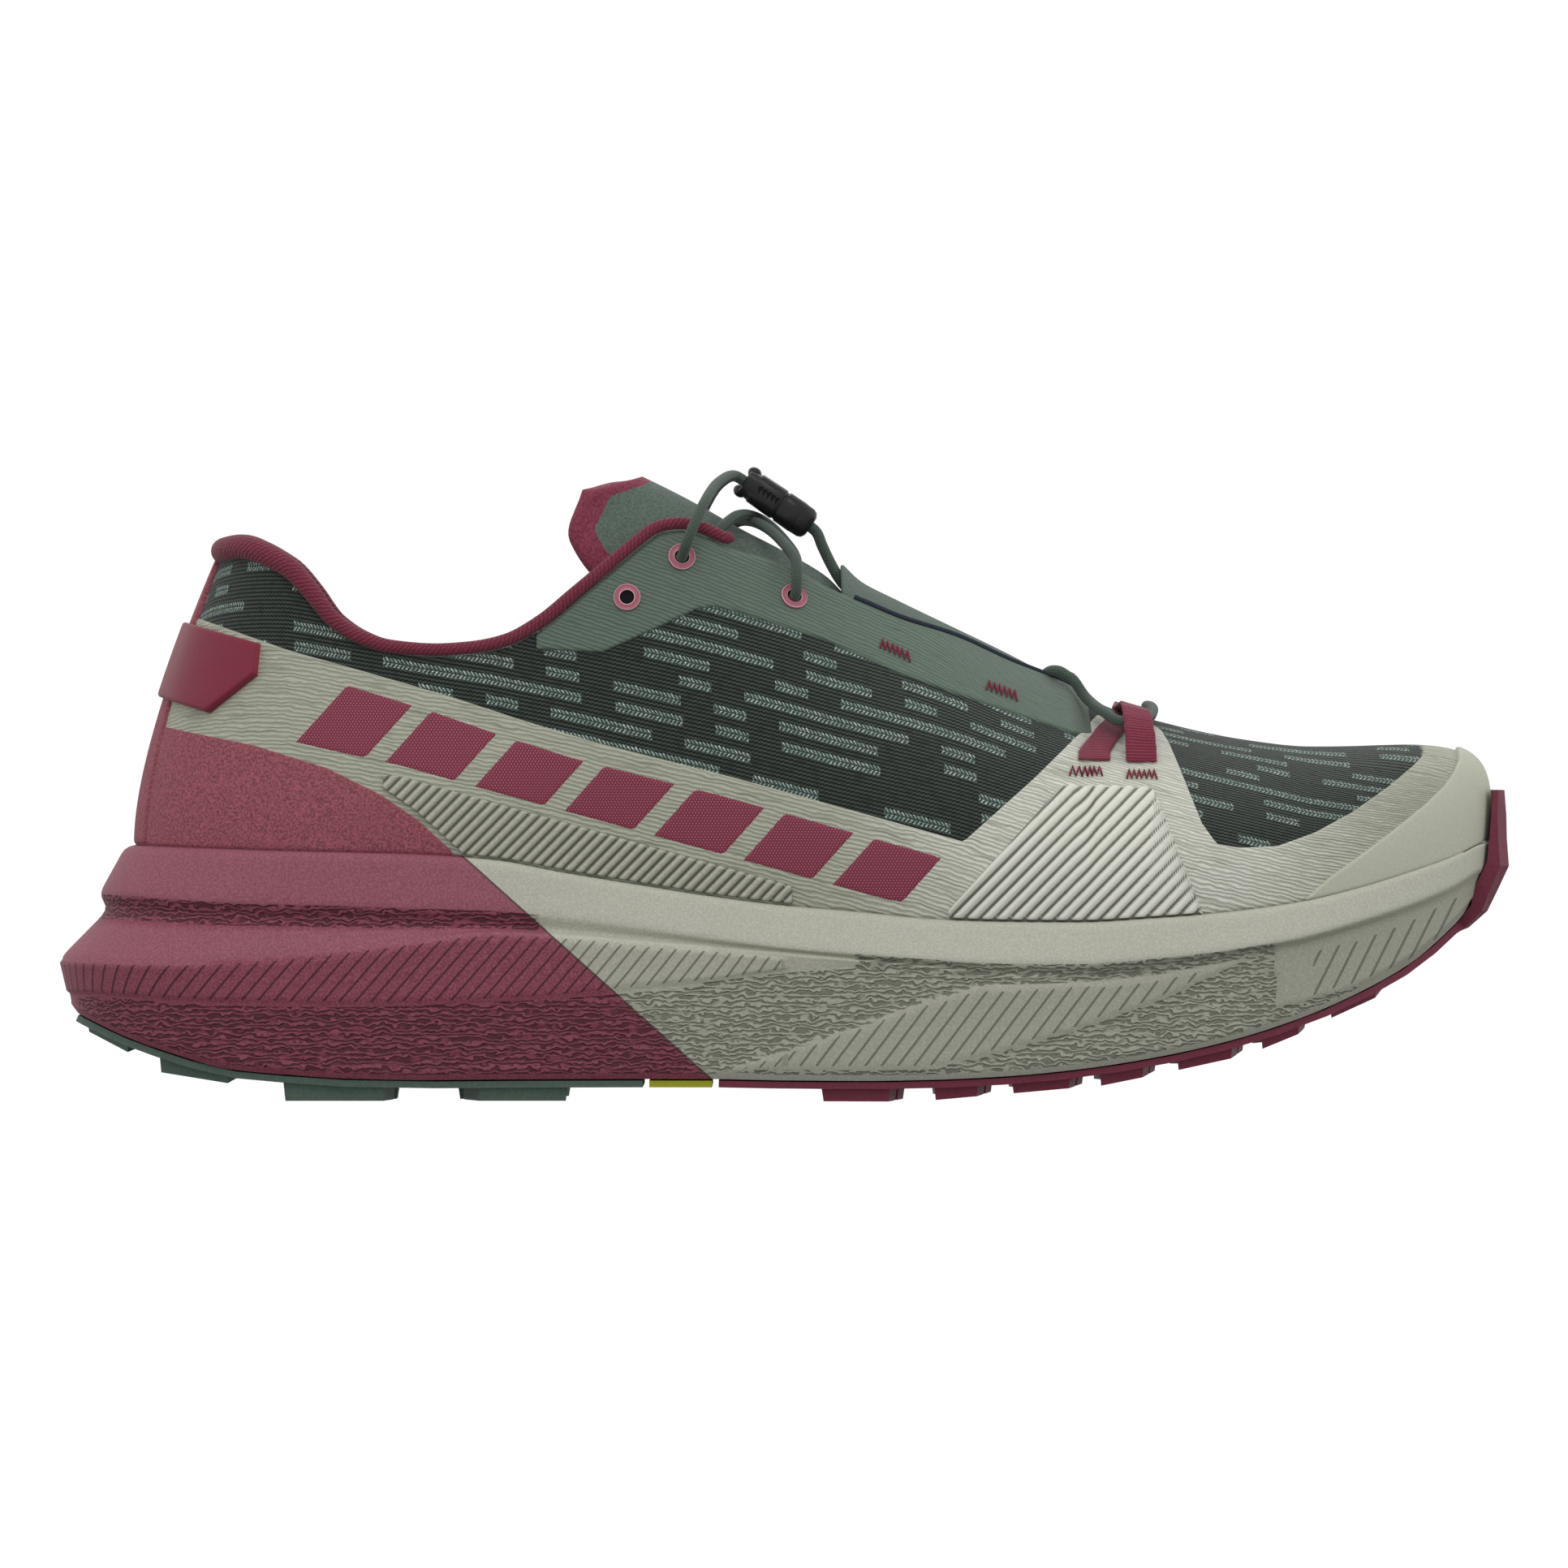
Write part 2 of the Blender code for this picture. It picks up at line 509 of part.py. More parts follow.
def grid_normals(grid):
    """Outward normals of a grid of points, rows upward and columns round a closed loop."""
    around = np.roll(grid, -1, axis=1) - np.roll(grid, 1, axis=1)
    upward = np.gradient(grid, axis=0)
    # The ridge folds back on itself at its front end, where the row below gives the direction.
    tip = len(ROUND) - 1
    around[-1, tip] = around[-2, tip]
    normals = np.cross(around, upward)
    return normals / np.linalg.norm(normals, axis=2, keepdims=True)


class Wall:
    """The upper's outer face as the mesh has it, read at any place between its points."""

    def __init__(self):
        self.grid = np.array([upper_column(*column) for column in loop_columns()]).transpose(1, 0, 2)
        self.normals = grid_normals(self.grid)

    def column(self, side, share):
        """Points and normals of the wall from bottom to top, at a share of the way round."""
        place = np.interp(share, ROUND, np.arange(len(ROUND)))
        count = self.grid.shape[1]
        place = place if side == OUTER else (count - place) % count
        left = int(place) % count
        right = (left + 1) % count
        blend = place - int(place)
        points = self.grid[:, left] * (1 - blend) + self.grid[:, right] * blend
        normals = self.normals[:, left] * (1 - blend) + self.normals[:, right] * blend
        return points, normals / np.linalg.norm(normals, axis=1, keepdims=True)

    def at(self, side, share, level, offset=0.0):
        """Point on the wall's own facets at a level of a column, moved off the wall."""
        count = self.grid.shape[1]
        place = np.interp(share, ROUND, np.arange(len(ROUND)))
        place = place if side == OUTER else (count - place) % count
        left = int(place) % count
        right = (left + 1) % count
        u = place - int(place)
        low = min(int(level), self.grid.shape[0] - 2)
        v = level - low
        a, b = self.grid[low, left], self.grid[low, right]
        c, d = self.grid[low + 1, left], self.grid[low + 1, right]
        if np.linalg.norm(a - d) < np.linalg.norm(b - c):
            point = a + u * (b - a) + v * (d - b) if v < u else a + v * (c - a) + u * (d - c)
        elif u + v < 1:
            point = a + u * (b - a) + v * (c - a)
        else:
            point = d + (1 - u) * (c - d) + (1 - v) * (b - d)
        normals = self.column(side, share)[1]
        normal = normals[low] * (1 - v) + normals[low + 1] * v
        return point + normal / np.linalg.norm(normal) * offset

    def crossing(self, side, share, edge):
        """Level at which a column rises above an overlay's edge."""
        points, _ = self.column(side, share)
        over = points[:, 2] - edge_height(edge, points[:, 0] + HEEL_REST_X)
        if over[1] >= 0:
            return 1.0
        for level in range(1, len(points) - 1):
            if over[level + 1] > 0:
                return level + over[level] / (over[level] - over[level + 1])
        return len(points) - 1.0

    def find(self, station, height, side, offset=0.0):
        """Point and normal of the wall at a place given in side view."""
        wanted = np.array([station * LENGTH - HEEL_REST_X, height * COLLAR_HEIGHT])
        best = None
        for share in np.linspace(0.02, 0.98, 481):
            points, _ = self.column(side, share)
            for level in np.linspace(1, len(points) - 1, 60):
                low = min(int(level), len(points) - 2)
                point = points[low] + (points[low + 1] - points[low]) * (level - low)
                miss = math.hypot(point[0] - wanted[0], point[2] - wanted[1])
                if best is None or miss < best[0]:
                    best = (miss, share, level)
        _, share, level = best
        point = self.at(side, share, level, offset)
        return point, self.at(side, share, level, offset + 1.0) - point

    def height_at(self, x, y):
        """Height of the outer face over a place in plan."""
        side = OUTER if y < SOLE_WIDTH * float(smooth((x + HEEL_REST_X) / LENGTH, TOP["station"], TOP["middle"])) else INNER
        best = 0.0
        for share in np.linspace(0.5, 1.0, 120):
            points, _ = self.column(side, share)
            for low in range(len(points) // 2, len(points) - 1):
                a, b = points[low], points[low + 1]
                for blend in np.linspace(0, 1, 8):
                    point = a + (b - a) * blend
                    if math.hypot(point[0] - x, point[1] - y) < 0.0016:
                        best = max(best, point[2])
        return best


WALL = Wall()


def collection(name):
    group = bpy.data.collections.new(name)
    bpy.context.scene.collection.children.link(group)
    return group


def material(name):
    """Plain material of one of the shoe's stuffs."""
    if name in bpy.data.materials:
        return bpy.data.materials[name]
    made = bpy.data.materials.new(name)
    made.use_nodes = True
    shader = made.node_tree.nodes["Principled BSDF"]
    red, green, blue, rough = COLOURS[name]
    shader.inputs["Base Color"].default_value = (red, green, blue, 1)
    shader.inputs["Roughness"].default_value = rough
    made.diffuse_color = (red, green, blue, 1)
    return made


def add(name, mesh, stuff, group):
    made = bpy.data.objects.new(name, mesh)
    group.objects.link(made)
    if stuff:
        mesh.materials.append(material(stuff))
    return made


def mesh_from(name, shape):
    """Mesh of a bmesh, with its faces turned outward."""
    bmesh.ops.recalc_face_normals(shape, faces=shape.faces)
    mesh = bpy.data.meshes.new(name)
    shape.to_mesh(mesh)
    shape.free()
    return mesh


def add_grid(shape, grid, closed=False):
    """Faces of a grid of points, rows by columns; a closed one joins its last column to its first."""
    rows = [[shape.verts.new(point) for point in row] for row in grid]
    count = len(rows[0]) if closed else len(rows[0]) - 1
    for low, high in zip(rows, rows[1:]):
        for i in range(count):
            j = (i + 1) % len(low)
            if (low[i].co - high[j].co).length < (low[j].co - high[i].co).length:
                shape.faces.new((low[i], low[j], high[j]))
                shape.faces.new((low[i], high[j], high[i]))
            else:
                shape.faces.new((low[i], low[j], high[i]))
                shape.faces.new((low[j], high[j], high[i]))
    return rows


def slab(name, outer, inner):
    """Closed sheet between two grids of points with open edges."""
    shape = bmesh.new()
    top = add_grid(shape, outer)
    under = add_grid(shape, inner)
    rim_top = top[0] + [row[-1] for row in top[1:-1]] + top[-1][::-1] + [row[0] for row in top[-2:0:-1]]
    rim_under = (
        under[0] + [row[-1] for row in under[1:-1]] + under[-1][::-1] + [row[0] for row in under[-2:0:-1]]
    )
    for i in range(len(rim_top)):
        j = (i + 1) % len(rim_top)
        shape.faces.new((rim_top[i], rim_under[i], rim_under[j], rim_top[j]))
    bmesh.ops.remove_doubles(shape, verts=shape.verts, dist=1e-6)
    return mesh_from(name, shape)


def ring_stack(name, rings):
    """Solid of rings laid one after another, its first and last ring closed across the shoe."""
    shape = bmesh.new()
    rows = add_grid(shape, rings, closed=True)
    half = len(ROUND)
    for row in (rows[0], rows[-1]):
        outer_side = row[:half]
        inner_side = [row[0]] + row[: half - 2 : -1]
        for i in range(half - 1):
            corners = [outer_side[i], outer_side[i + 1], inner_side[i + 1], inner_side[i]]
            corners = [c for k, c in enumerate(corners) if c not in corners[:k]]
            if len(corners) > 2:
                shape.faces.new(corners)
    return mesh_from(name, shape)


def prism(shape, low, high):
    """Closed body between two outlines with the same number of corners."""
    low = [shape.verts.new(point) for point in low]
    high = [shape.verts.new(point) for point in high]
    shape.faces.new(low)
    shape.faces.new(high)
    for i in range(len(low)):
        j = (i + 1) % len(low)
        shape.faces.new((low[i], low[j], high[j], high[i]))


def cut(target, tool, operation="DIFFERENCE"):
    boolean = target.modifiers.new(tool.name, "BOOLEAN")
    boolean.operation = operation
    boolean.object = tool
    tool.hide_render = True
    tool.display_type = "WIRE"


def tube_points(points, spacing):
    """Points evenly spaced along a smooth curve through the given ones."""
    points = [np.array(p, float) for p in points]
    ends = [2 * points[0] - points[1]] + points + [2 * points[-1] - points[-2]]
    dense = []
    for a, b, c, d in zip(ends, ends[1:], ends[2:], ends[3:]):
        for t in np.linspace(0, 1, 12, endpoint=False):
            dense.append(
                0.5 * (2 * b + (c - a) * t + (2 * a - 5 * b + 4 * c - d) * t**2 + (3 * b - a - 3 * c + d) * t**3)
            )
    dense.append(points[-1])
    dense = np.array(dense)
    reach = np.concatenate([[0], np.cumsum(np.linalg.norm(np.diff(dense, axis=0), axis=1))])
    count = max(3, round(reach[-1] / spacing) + 1)
    return [[np.interp(s, reach, dense[:, k]) for k in range(3)] for s in np.linspace(0, reach[-1], count)]


def tube(name, points, diameter, stuff, group, spacing=None, sides=1):
    """Round tube along a smooth route."""
    curve = bpy.data.curves.new(name, "CURVE")
    curve.dimensions = "3D"
    curve.bevel_depth = diameter / 2
    curve.bevel_resolution = sides
    curve.use_fill_caps = True
    spline = curve.splines.new("POLY")
    route = tube_points(points, spacing or 2.2 * diameter)
    spline.points.add(len(route) - 1)
    for place, point in zip(spline.points, route):
        place.co = (*point, 1)
    curve.materials.append(material(stuff))
    made = bpy.data.objects.new(name, curve)
    group.objects.link(made)
    return made


def solid_mesh(made, group):
    """Mesh object in place of a curve, its caps joined to its wall."""
    bpy.context.view_layer.update()
    evaluated = made.evaluated_get(bpy.context.evaluated_depsgraph_get())
    mesh = bpy.data.meshes.new_from_object(evaluated)
    shape = bmesh.new()
    shape.from_mesh(mesh)
    bmesh.ops.remove_doubles(shape, verts=shape.verts, dist=1e-6)
    shape.to_mesh(mesh)
    shape.free()
    name = made.name
    bpy.data.objects.remove(made)
    replaced = bpy.data.objects.new(name, mesh)
    group.objects.link(replaced)
    return replaced


def build_midsole(parts, cutters):
    """Midsole with its cup, grooved side bands, and its two foams on each side of the slanted line."""
    rings = [[rail_point(name, share, side) for side, share in loop_columns()] for name in RAILS]
    mesh = ring_stack("midsole", rings)
    grooves = add("rib_cutter", rib_grooves(), None, cutters)
    top = FOAM_SPLIT["top"] * LENGTH - HEEL_REST_X
    bottom = FOAM_SPLIT["bottom"] * LENGTH - HEEL_REST_X
    low, rim = (float(side_height(line, FOAM_SPLIT["level"] * LENGTH)) for line in ("bottom", "rim"))
    slope = (bottom - top) / (rim - low)
    for name, stuff, sign, far in (
        ("midsole_heel", "burgundy_foam", 1, LENGTH),
        ("midsole_forefoot", "beige_foam", -1, -LENGTH),
    ):
        foam = add(name, mesh.copy(), stuff, parts)
        cut(foam, grooves)
        shape = bmesh.new()
        under, over = -STACK, 2 * STACK
        seam = [bottom - slope * (z - low) - sign * CLEARANCE / 2 for z in (under, over)]
        outline = [(seam[0], under), (seam[1], over), (far, over), (far, under)]
        prism(shape, [(x, -SOLE_WIDTH, z) for x, z in outline], [(x, SOLE_WIDTH, z) for x, z in outline])
        half_space = add("cut_" + name, mesh_from("cut_" + name, shape), None, cutters)
        cut(foam, half_space)


def sole_side(x, z, side):
    """Point of the midsole's side at a height, with the direction away from the shoe."""
    places = []
    for name in ("rim_outer", "lip", "groove", "flare", "band", "edge"):
        rail = RAILS[name]
        start, end = rail["start"] * LENGTH, rail["end"] * LENGTH
        share = min(max((x - start) / (end - start), 0.0), 1.0)
        point = rail_point(name, share, side)
        places.append((point[2], point[1], share))
    places.sort()
    heights, widths, shares = zip(*places)
    y = float(np.interp(z, heights, widths))
    return np.array([x - HEEL_REST_X, y, z]), outward(float(np.interp(z, heights, shares)), side)


def groove(shape, low, high, away):
    """One wedge of a grooved band, from its low to its high end."""
    along = (high - low) / np.linalg.norm(high - low)
    across = np.cross(along, away)
    across /= np.linalg.norm(across)
    outside = 2 * RIB_DEPTH
    half = RIB_WIDTH / 2 * (1 + outside / RIB_DEPTH)
    ends = []
    for point in (low, high):
        ends.append(
            [point - away * RIB_DEPTH, point + away * outside - across * half, point + away * outside + across * half]
        )
    prism(shape, *ends)


def rib_grooves():
    """Cutters of the three grooved bands on both sides of the sole."""
    shape = bmesh.new()
    inside_edge = 0.0007
    shares = np.linspace(0, 0.6, 400)
    for side in (OUTER, INNER):
        line = np.array([rail_point("band", s, side) for s in shares])
        reach = np.concatenate([[0], np.cumsum(np.linalg.norm(np.diff(line[:, :2], axis=0), axis=1))])
        distance = RIB_PITCH / 2
        while distance < np.interp(0.47, shares, reach):
            share = float(np.interp(distance, reach, shares))
            low = rail_point("band", share, side)
            height = rail_point("flare", share, side)[2] - low[2]
            lean = min(1.0, distance / (8 * RIB_PITCH))
            ahead = float(np.interp(distance + height * lean, reach, shares))
            high = rail_point("flare", ahead, side)
            direction = (high - low) / np.linalg.norm(high - low)
            low = low + direction * inside_edge
            high = high - direction * inside_edge
            if high[2] - low[2] > 2 * inside_edge:
                groove(shape, low, high, outward(share, side))
            distance += RIB_PITCH
        bands = (
            (0.497, 0.783, MIDDLE_BAND_TOP, MIDDLE_BAND_BOTTOM, math.tan(math.radians(53))),
            (0.866, 0.962, TOE_BAND_TOP, TOE_BAND_BOTTOM, math.tan(math.radians(63))),
        )
        for start, end, top, bottom, slope in bands:
            x = start * LENGTH
            while x < end * LENGTH:
                low_z = band_height(bottom, x) + inside_edge
                high_z = low_z
                while high_z < band_height(top, x + (high_z - low_z) / slope) - inside_edge:
                    high_z += inside_edge / 2
                low, away = sole_side(x, low_z, side)
                high, _ = sole_side(x + (high_z - low_z) / slope, high_z, side)
                if high_z - low_z > 4 * inside_edge:
                    groove(shape, low, high, away)
                x += RIB_PITCH
    return mesh_from("rib_cutter", shape)


# Grooved bands ahead of the heel's, in side view (stations, shares of COLLAR_HEIGHT)


def rubber_section(station, side_inset):
    """Both ends of the rubber's upper face across the sole at a station."""
    rail = RAILS["bottom"]
    share = (station - rail["start"]) / (rail["end"] - rail["start"])
    share = min(max(share, 0.0), 1.0)
    ends = [rail_point("bottom", share, side, side_inset) for side in (OUTER, INNER)]
    x = station * LENGTH - HEEL_REST_X
    z = float(side_height("bottom", station * LENGTH)) - CLEARANCE
    return [np.array([x, end[1], z]) for end in ends]


def sheet_below(name, stations, thick, extra=None):
    """Sheet of rubber under the midsole, its thickness square to its own slope."""
    rows = []
    for station in stations:
        left, right = rubber_section(station, CLEARANCE)
        rows.append([left, (2 * left + right) / 3, (left + 2 * right) / 3, right])
    thicks = [thick] * len(rows)
    if extra:
        for row, size in extra:
            rows.append(row)
            thicks.append(size)
    rows = np.array(rows)
    along = np.gradient(rows.mean(axis=1), axis=0)
    normals = np.stack([along[:, 2], np.zeros(len(along)), -along[:, 0]], axis=1)
    normals /= np.linalg.norm(normals, axis=1, keepdims=True)
    under = rows + normals[:, None] * np.array(thicks)[:, None, None]
    return slab(name, rows, under)


def lug(shape, corners, taper):
    """Tapered block on the rubber: its corners in plan run round it, its foot follows the tread line."""
    corners = np.array(corners)
    centre = corners.mean(axis=0)
    tops, feet = [], []
    for x, y in corners:
        station = (x + HEEL_REST_X) / LENGTH
        z = float(side_height("bottom", x + HEEL_REST_X)) - CLEARANCE - RUBBER / 2
        tops.append((x, y, z))
        inward = centre - (x, y)
        inward = inward / np.linalg.norm(inward) * taper
        height = STACK * float(np.interp(station, TREAD["station"], TREAD["height"]))
        feet.append((x + inward[0], y + inward[1], height))
    prism(shape, feet, tops)


def lug_rows(first, last):
    """Lugs of the rows whose stations lie between two stations."""
    shape = bmesh.new()
    for rear, front, lead, rows in zip(*(LUG_ROWS[key] for key in ("rear", "front", "lead", "rows"))):
        if rear < first or front > last:
            continue
        rows = int(rows)
        edges = [rubber_section(s, LUG_MARGIN) for s in (rear, front)]
        for block in range(rows):
            low = block / rows
            high = (block + 1) / rows
            corners = []
            for (left, right), share in ((edges[0], low), (edges[1], low), (edges[1], high), (edges[0], high)):
                width = right[1] - left[1]
                gap = LUG_GAP / 2 / width
                share += gap if share == low and low > 0 else 0
                share -= gap if share == high and high < 1 else 0
                ahead = lead * LENGTH * (1 - abs(2 * share - 1))
                corners.append((left[0] + ahead, left[1] + width * share))
            lug(shape, corners, LUG_TAPER)
    return shape


def build_outsole(parts, cutters):
    """Heel and forefoot rubber with lugs, and the plain insert between them."""
    heel_stations = [HEEL_RUBBER[0], *HEEL_RUBBER_STATIONS, HEEL_RUBBER[1]]
    toe_stations = [FOREFOOT_RUBBER_START, *FOREFOOT_RUBBER_STATIONS]
    bumper = []
    middle = SOLE_WIDTH * PLAN["middle"][-1]
    for station, height, half, setback, thick in zip(*BUMPER.values()):
        row = []
        for share in (-1, -1 / 3, 1 / 3, 1):
            x = (station - setback * share**2) * LENGTH - HEEL_REST_X
            row.append(np.array([x, middle + share * half * SOLE_WIDTH, height * STACK]))
        bumper.append((row, thick))
    parting = FOREFOOT_RUBBER_START - INSERT_GAP
    for name, stations, stuff, extra, reach in (
        ("outsole_heel", heel_stations, "green_rubber", None, (0.0, parting)),
        ("outsole_forefoot", toe_stations, "burgundy_rubber", bumper, (parting, 1.0)),
    ):
        rubber = add(name, sheet_below(name, stations, RUBBER, extra), stuff, parts)
        lugs = add("lugs_" + name, mesh_from("lugs_" + name, lug_rows(*reach)), None, cutters)
        cut(rubber, lugs, "UNION")
    insert = sheet_below("outsole_insert", np.linspace(*INSERT_RUBBER, 3), RUBBER)
    add("outsole_insert", insert, "yellow_rubber", parts)


def build_insole(parts):
    """Insole on the foot bed, inside the upper's wall."""
    rings = []
    for lift in (CLEARANCE, CLEARANCE + INSOLE_THICK):
        ring = []
        for side, share in loop_columns():
            point = rail_point("bed", share, side, UPPER_WALL + INSOLE_GAP)
            point[2] += lift
            ring.append(point)
        rings.append(ring)
    add("insole", ring_stack("insole", rings), "lining", parts)


def build_upper(parts):
    """Hollow knitted shell, open at collar, throat and underneath, thicker at the collar."""
    shape = bmesh.new()
    rows = add_grid(shape, WALL.grid, closed=True)
    padding = {}
    levels = len(rows) - 1
    for number, row in enumerate(rows):
        for vert, (_, share) in zip(row, loop_columns()):
            pad = float(np.interp(share, PADDING["round"], PADDING["share"]))
            pad *= max(0.0, (number / levels - PAD_LEVEL) / (1 - PAD_LEVEL))
            padding[vert] = (UPPER_WALL + (COLLAR_PAD - UPPER_WALL) * math.sin(math.pi / 2 * pad)) / COLLAR_PAD
    shape.verts.index_update()
    weights = {vert.index: weight for vert, weight in padding.items()}
    bmesh.ops.recalc_face_normals(shape, faces=shape.faces)
    mesh = bpy.data.meshes.new("upper")
    shape.to_mesh(mesh)
    shape.free()
    upper = add("upper", mesh, "dark_knit", parts)
    group = upper.vertex_groups.new(name="thickness")
    for index, weight in weights.items():
        group.add([index], weight, "REPLACE")
    weld = upper.modifiers.new("ridge", "WELD")
    weld.merge_threshold = 1e-5
    wall = upper.modifiers.new("wall", "SOLIDIFY")
    wall.thickness = COLLAR_PAD
    wall.offset = -1
    wall.vertex_group = "thickness"
    wall.use_even_offset = False
    # The grid's faces point outward here, so the wall grows inward from the last's own shape.
    return upper


def with_crossings(columns, edges):
    """Columns with one more wherever an edge passes from one row of the wall to the next."""
    filled = [columns[0]]
    for (side, share), (next_side, next_share) in zip(columns, columns[1:]):
        # The first column of the far side is the shared one on the middle line.
        between = next_side if share in (0.0, 1.0) else side
        more = []
        for edge in edges:
            along = np.linspace(share, next_share, CROSSING_STEPS)
            levels = np.array([WALL.crossing(between, at, edge) for at in along])
            rows = np.floor(levels)
            for k in np.nonzero(np.diff(rows))[0]:
                row = max(rows[k], rows[k + 1])
                part = (row - levels[k]) / (levels[k + 1] - levels[k])
                more.append(along[k] + part * (along[k + 1] - along[k]))
        spare = abs(next_share - share) * CROSSING_MARGIN
        for at in sorted(more, reverse=next_share < share):
            if min(abs(at - filled[-1][1]), abs(at - next_share)) > spare:
                filled.append((between, at))
        filled.append((next_side, next_share))
    return filled


def overlay(name, columns, bottom, top, offset, thick, stuff, parts):
    """Layer on the upper between two edges drawn in side view, with the wall's own rows between them."""
    inner, outer = [], []
    columns = with_crossings(columns, [edge for edge in (bottom, top) if edge])
    for side, share in columns:
        low = max(WALL.crossing(side, share, bottom) if bottom else 1.0, OVERLAY_FOOT)
        high = max(WALL.crossing(side, share, top) if top else UPPER_LEVELS - 1.1, low + OVERLAY_FOOT - 1)
        levels = [min(max(level, low), high) for level in range(1, UPPER_LEVELS)]
        inner.append([WALL.at(side, share, level, offset) for level in levels])
        outer.append([WALL.at(side, share, level, offset + thick) for level in levels])
    return add(name, slab(name, outer, inner), stuff, parts)


def side_columns(side, first, last):
    """The upper's own sections on one side between two shares, with both ends."""
    shares = sorted({first, last, *(s for s in ROUND if first < s < last)})
    return [(side, share) for share in shares]


def round_heel(span):
    """Columns from one side round the heel to the other."""
    return side_columns(INNER, *span)[:0:-1] + side_columns(OUTER, *span)


def build_overlays(parts):
    """Counter, toe cap, side band, rib panels, eyestays and the heel's pull tab."""
    heel = round_heel(OVERLAY_SPAN["heel_counter"])
    overlay("heel_counter", heel, None, COUNTER_TOP, CLEARANCE, OVERLAY, "burgundy_film", parts)
    toe = side_columns(OUTER, *OVERLAY_SPAN["toe_cap"]) + side_columns(INNER, *OVERLAY_SPAN["toe_cap"])[-2::-1]
    overlay("toe_cap", toe, None, TOE_CAP_TOP, TOE_SEAT, OVERLAY, "beige_knit", parts)
    band = round_heel(OVERLAY_SPAN["side_band"])
    overlay("side_band", band, BAND_BOTTOM, BAND_TOP, BAND_SEAT, OVERLAY, "beige_knit", parts)
    for word, side in (("outer", OUTER), ("inner", INNER)):
        rear = side_columns(side, *OVERLAY_SPAN["ribs_rear"])[::-side]
        overlay(
            "ribs_rear_" + word, rear, REAR_RIBS_BOTTOM, REAR_RIBS_TOP, CLEARANCE, OVERLAY, "beige_film", parts
        )
        front = side_columns(side, *OVERLAY_SPAN["ribs_front"])[::-side]
        overlay("ribs_front_" + word, front, None, FRONT_RIBS_TOP, CLEARANCE, OVERLAY, "beige_film", parts)
        stay = side_columns(side, *OVERLAY_SPAN["eyestay"])[::-side]
        overlay("eyestay_" + word, stay, EYESTAY_BOTTOM, None, CLEARANCE, OVERLAY, "green_film", parts)
    lift = BAND_SEAT + OVERLAY + CLEARANCE
    tab = round_heel(OVERLAY_SPAN["pull_tab"])
    overlay("pull_tab", tab, TAB_BOTTOM, TAB_TOP, lift, TAB_THICK, "crimson_tape", parts)


def build_piping(parts):
    """Corded edge along the collar, from one end of the throat round the heel to the other."""
    shares = np.linspace(PIPING_END, 0.0, PIPING_POINTS)
    edge = [WALL.at(OUTER, share, UPPER_LEVELS - 1) for share in shares]
    edge += [WALL.at(INNER, share, UPPER_LEVELS - 1) for share in shares[-2::-1]]
    edge = np.array(edge)
    along = np.gradient(edge, axis=0)
    along /= np.linalg.norm(along, axis=1, keepdims=True)
    lift = np.array([0, 0, 1]) - along * along[:, 2:]
    lift /= np.linalg.norm(lift, axis=1, keepdims=True)
    route = edge + lift * (PIPING / 2 + 3 * CLEARANCE)
    tube("collar_piping", route, PIPING, "crimson_tape", parts, spacing=PIPING_SPACING)


def sheet_from_table(rows, columns, with_back):
    """Middle surface of a domed strip from its table."""
    grid = []
    for i in range(len(rows["station"])):
        row = []
        for share in np.linspace(-1, 1, columns):
            back = rows["back"][i] * SOLE_WIDTH * share**2 if with_back else 0.0
            row.append(
                (
                    rows["station"][i] * LENGTH - HEEL_REST_X - back,
                    rows["half"][i] * SOLE_WIDTH * share,
                    COLLAR_HEIGHT * (rows["height"][i] - rows["down"][i] * share**2),
                )
            )
        grid.append(row)
    return np.array(grid)


def thickened(name, grid, thick):
    """Sheet of a thickness below a grid of points."""
    along = np.gradient(grid, axis=0)
    across = np.gradient(grid, axis=1)
    normals = np.cross(along, across)
    normals /= np.linalg.norm(normals, axis=2, keepdims=True)
    if normals[..., 2].mean() > 0:
        normals = -normals
    return slab(name, grid, grid + normals * thick)


def build_tongue(parts):
    grid = sheet_from_table(TONGUE, TONGUE_COLUMNS, True)
    add("tongue", thickened("tongue", grid, TONGUE_THICK), "green_film", parts)
    grid = sheet_from_table(POCKET, POCKET_COLUMNS, False)
    add("lace_pocket", thickened("lace_pocket", grid, POCKET_THICK), "green_film", parts)


def build_eyelets(parts):
    """Rings on the eyestays, their axes square to the wall."""
    seat = 2 * CLEARANCE + OVERLAY
    for number, (station, height) in enumerate(zip(EYELETS["station"], EYELETS["height"]), 1):
        for word, side in (("outer", OUTER), ("inner", INNER)):
            point, normal = WALL.find(station, height, side, seat)
            name = f"eyelet_{word}_{number}"
            shape = bmesh.new()
            angles = [2 * math.pi * k / EYELET_SIDES for k in range(EYELET_SIDES)]
            rings = []
            for radius, lift in (
                (EYELET_RADIUS, 0.0),
                (EYELET_RADIUS, EYELET_HEIGHT * 0.6),
                ((EYELET_RADIUS + EYELET_HOLE) / 2, EYELET_HEIGHT),
                (EYELET_HOLE, EYELET_HEIGHT * 0.6),
                (EYELET_HOLE, 0.0),
                (EYELET_RADIUS, 0.0),
            ):
                rings.append([(radius * math.cos(a), radius * math.sin(a), lift) for a in angles])
            add_grid(shape, rings, closed=True)
            bmesh.ops.remove_doubles(shape, verts=shape.verts, dist=1e-7)
            ring = add(name, mesh_from(name, shape), "pink_metal", parts)
            turn = Vector(normal).to_track_quat("Z", "Y").to_matrix().to_4x4()
            ring.matrix_world = Matrix.Translation(Vector(point)) @ turn


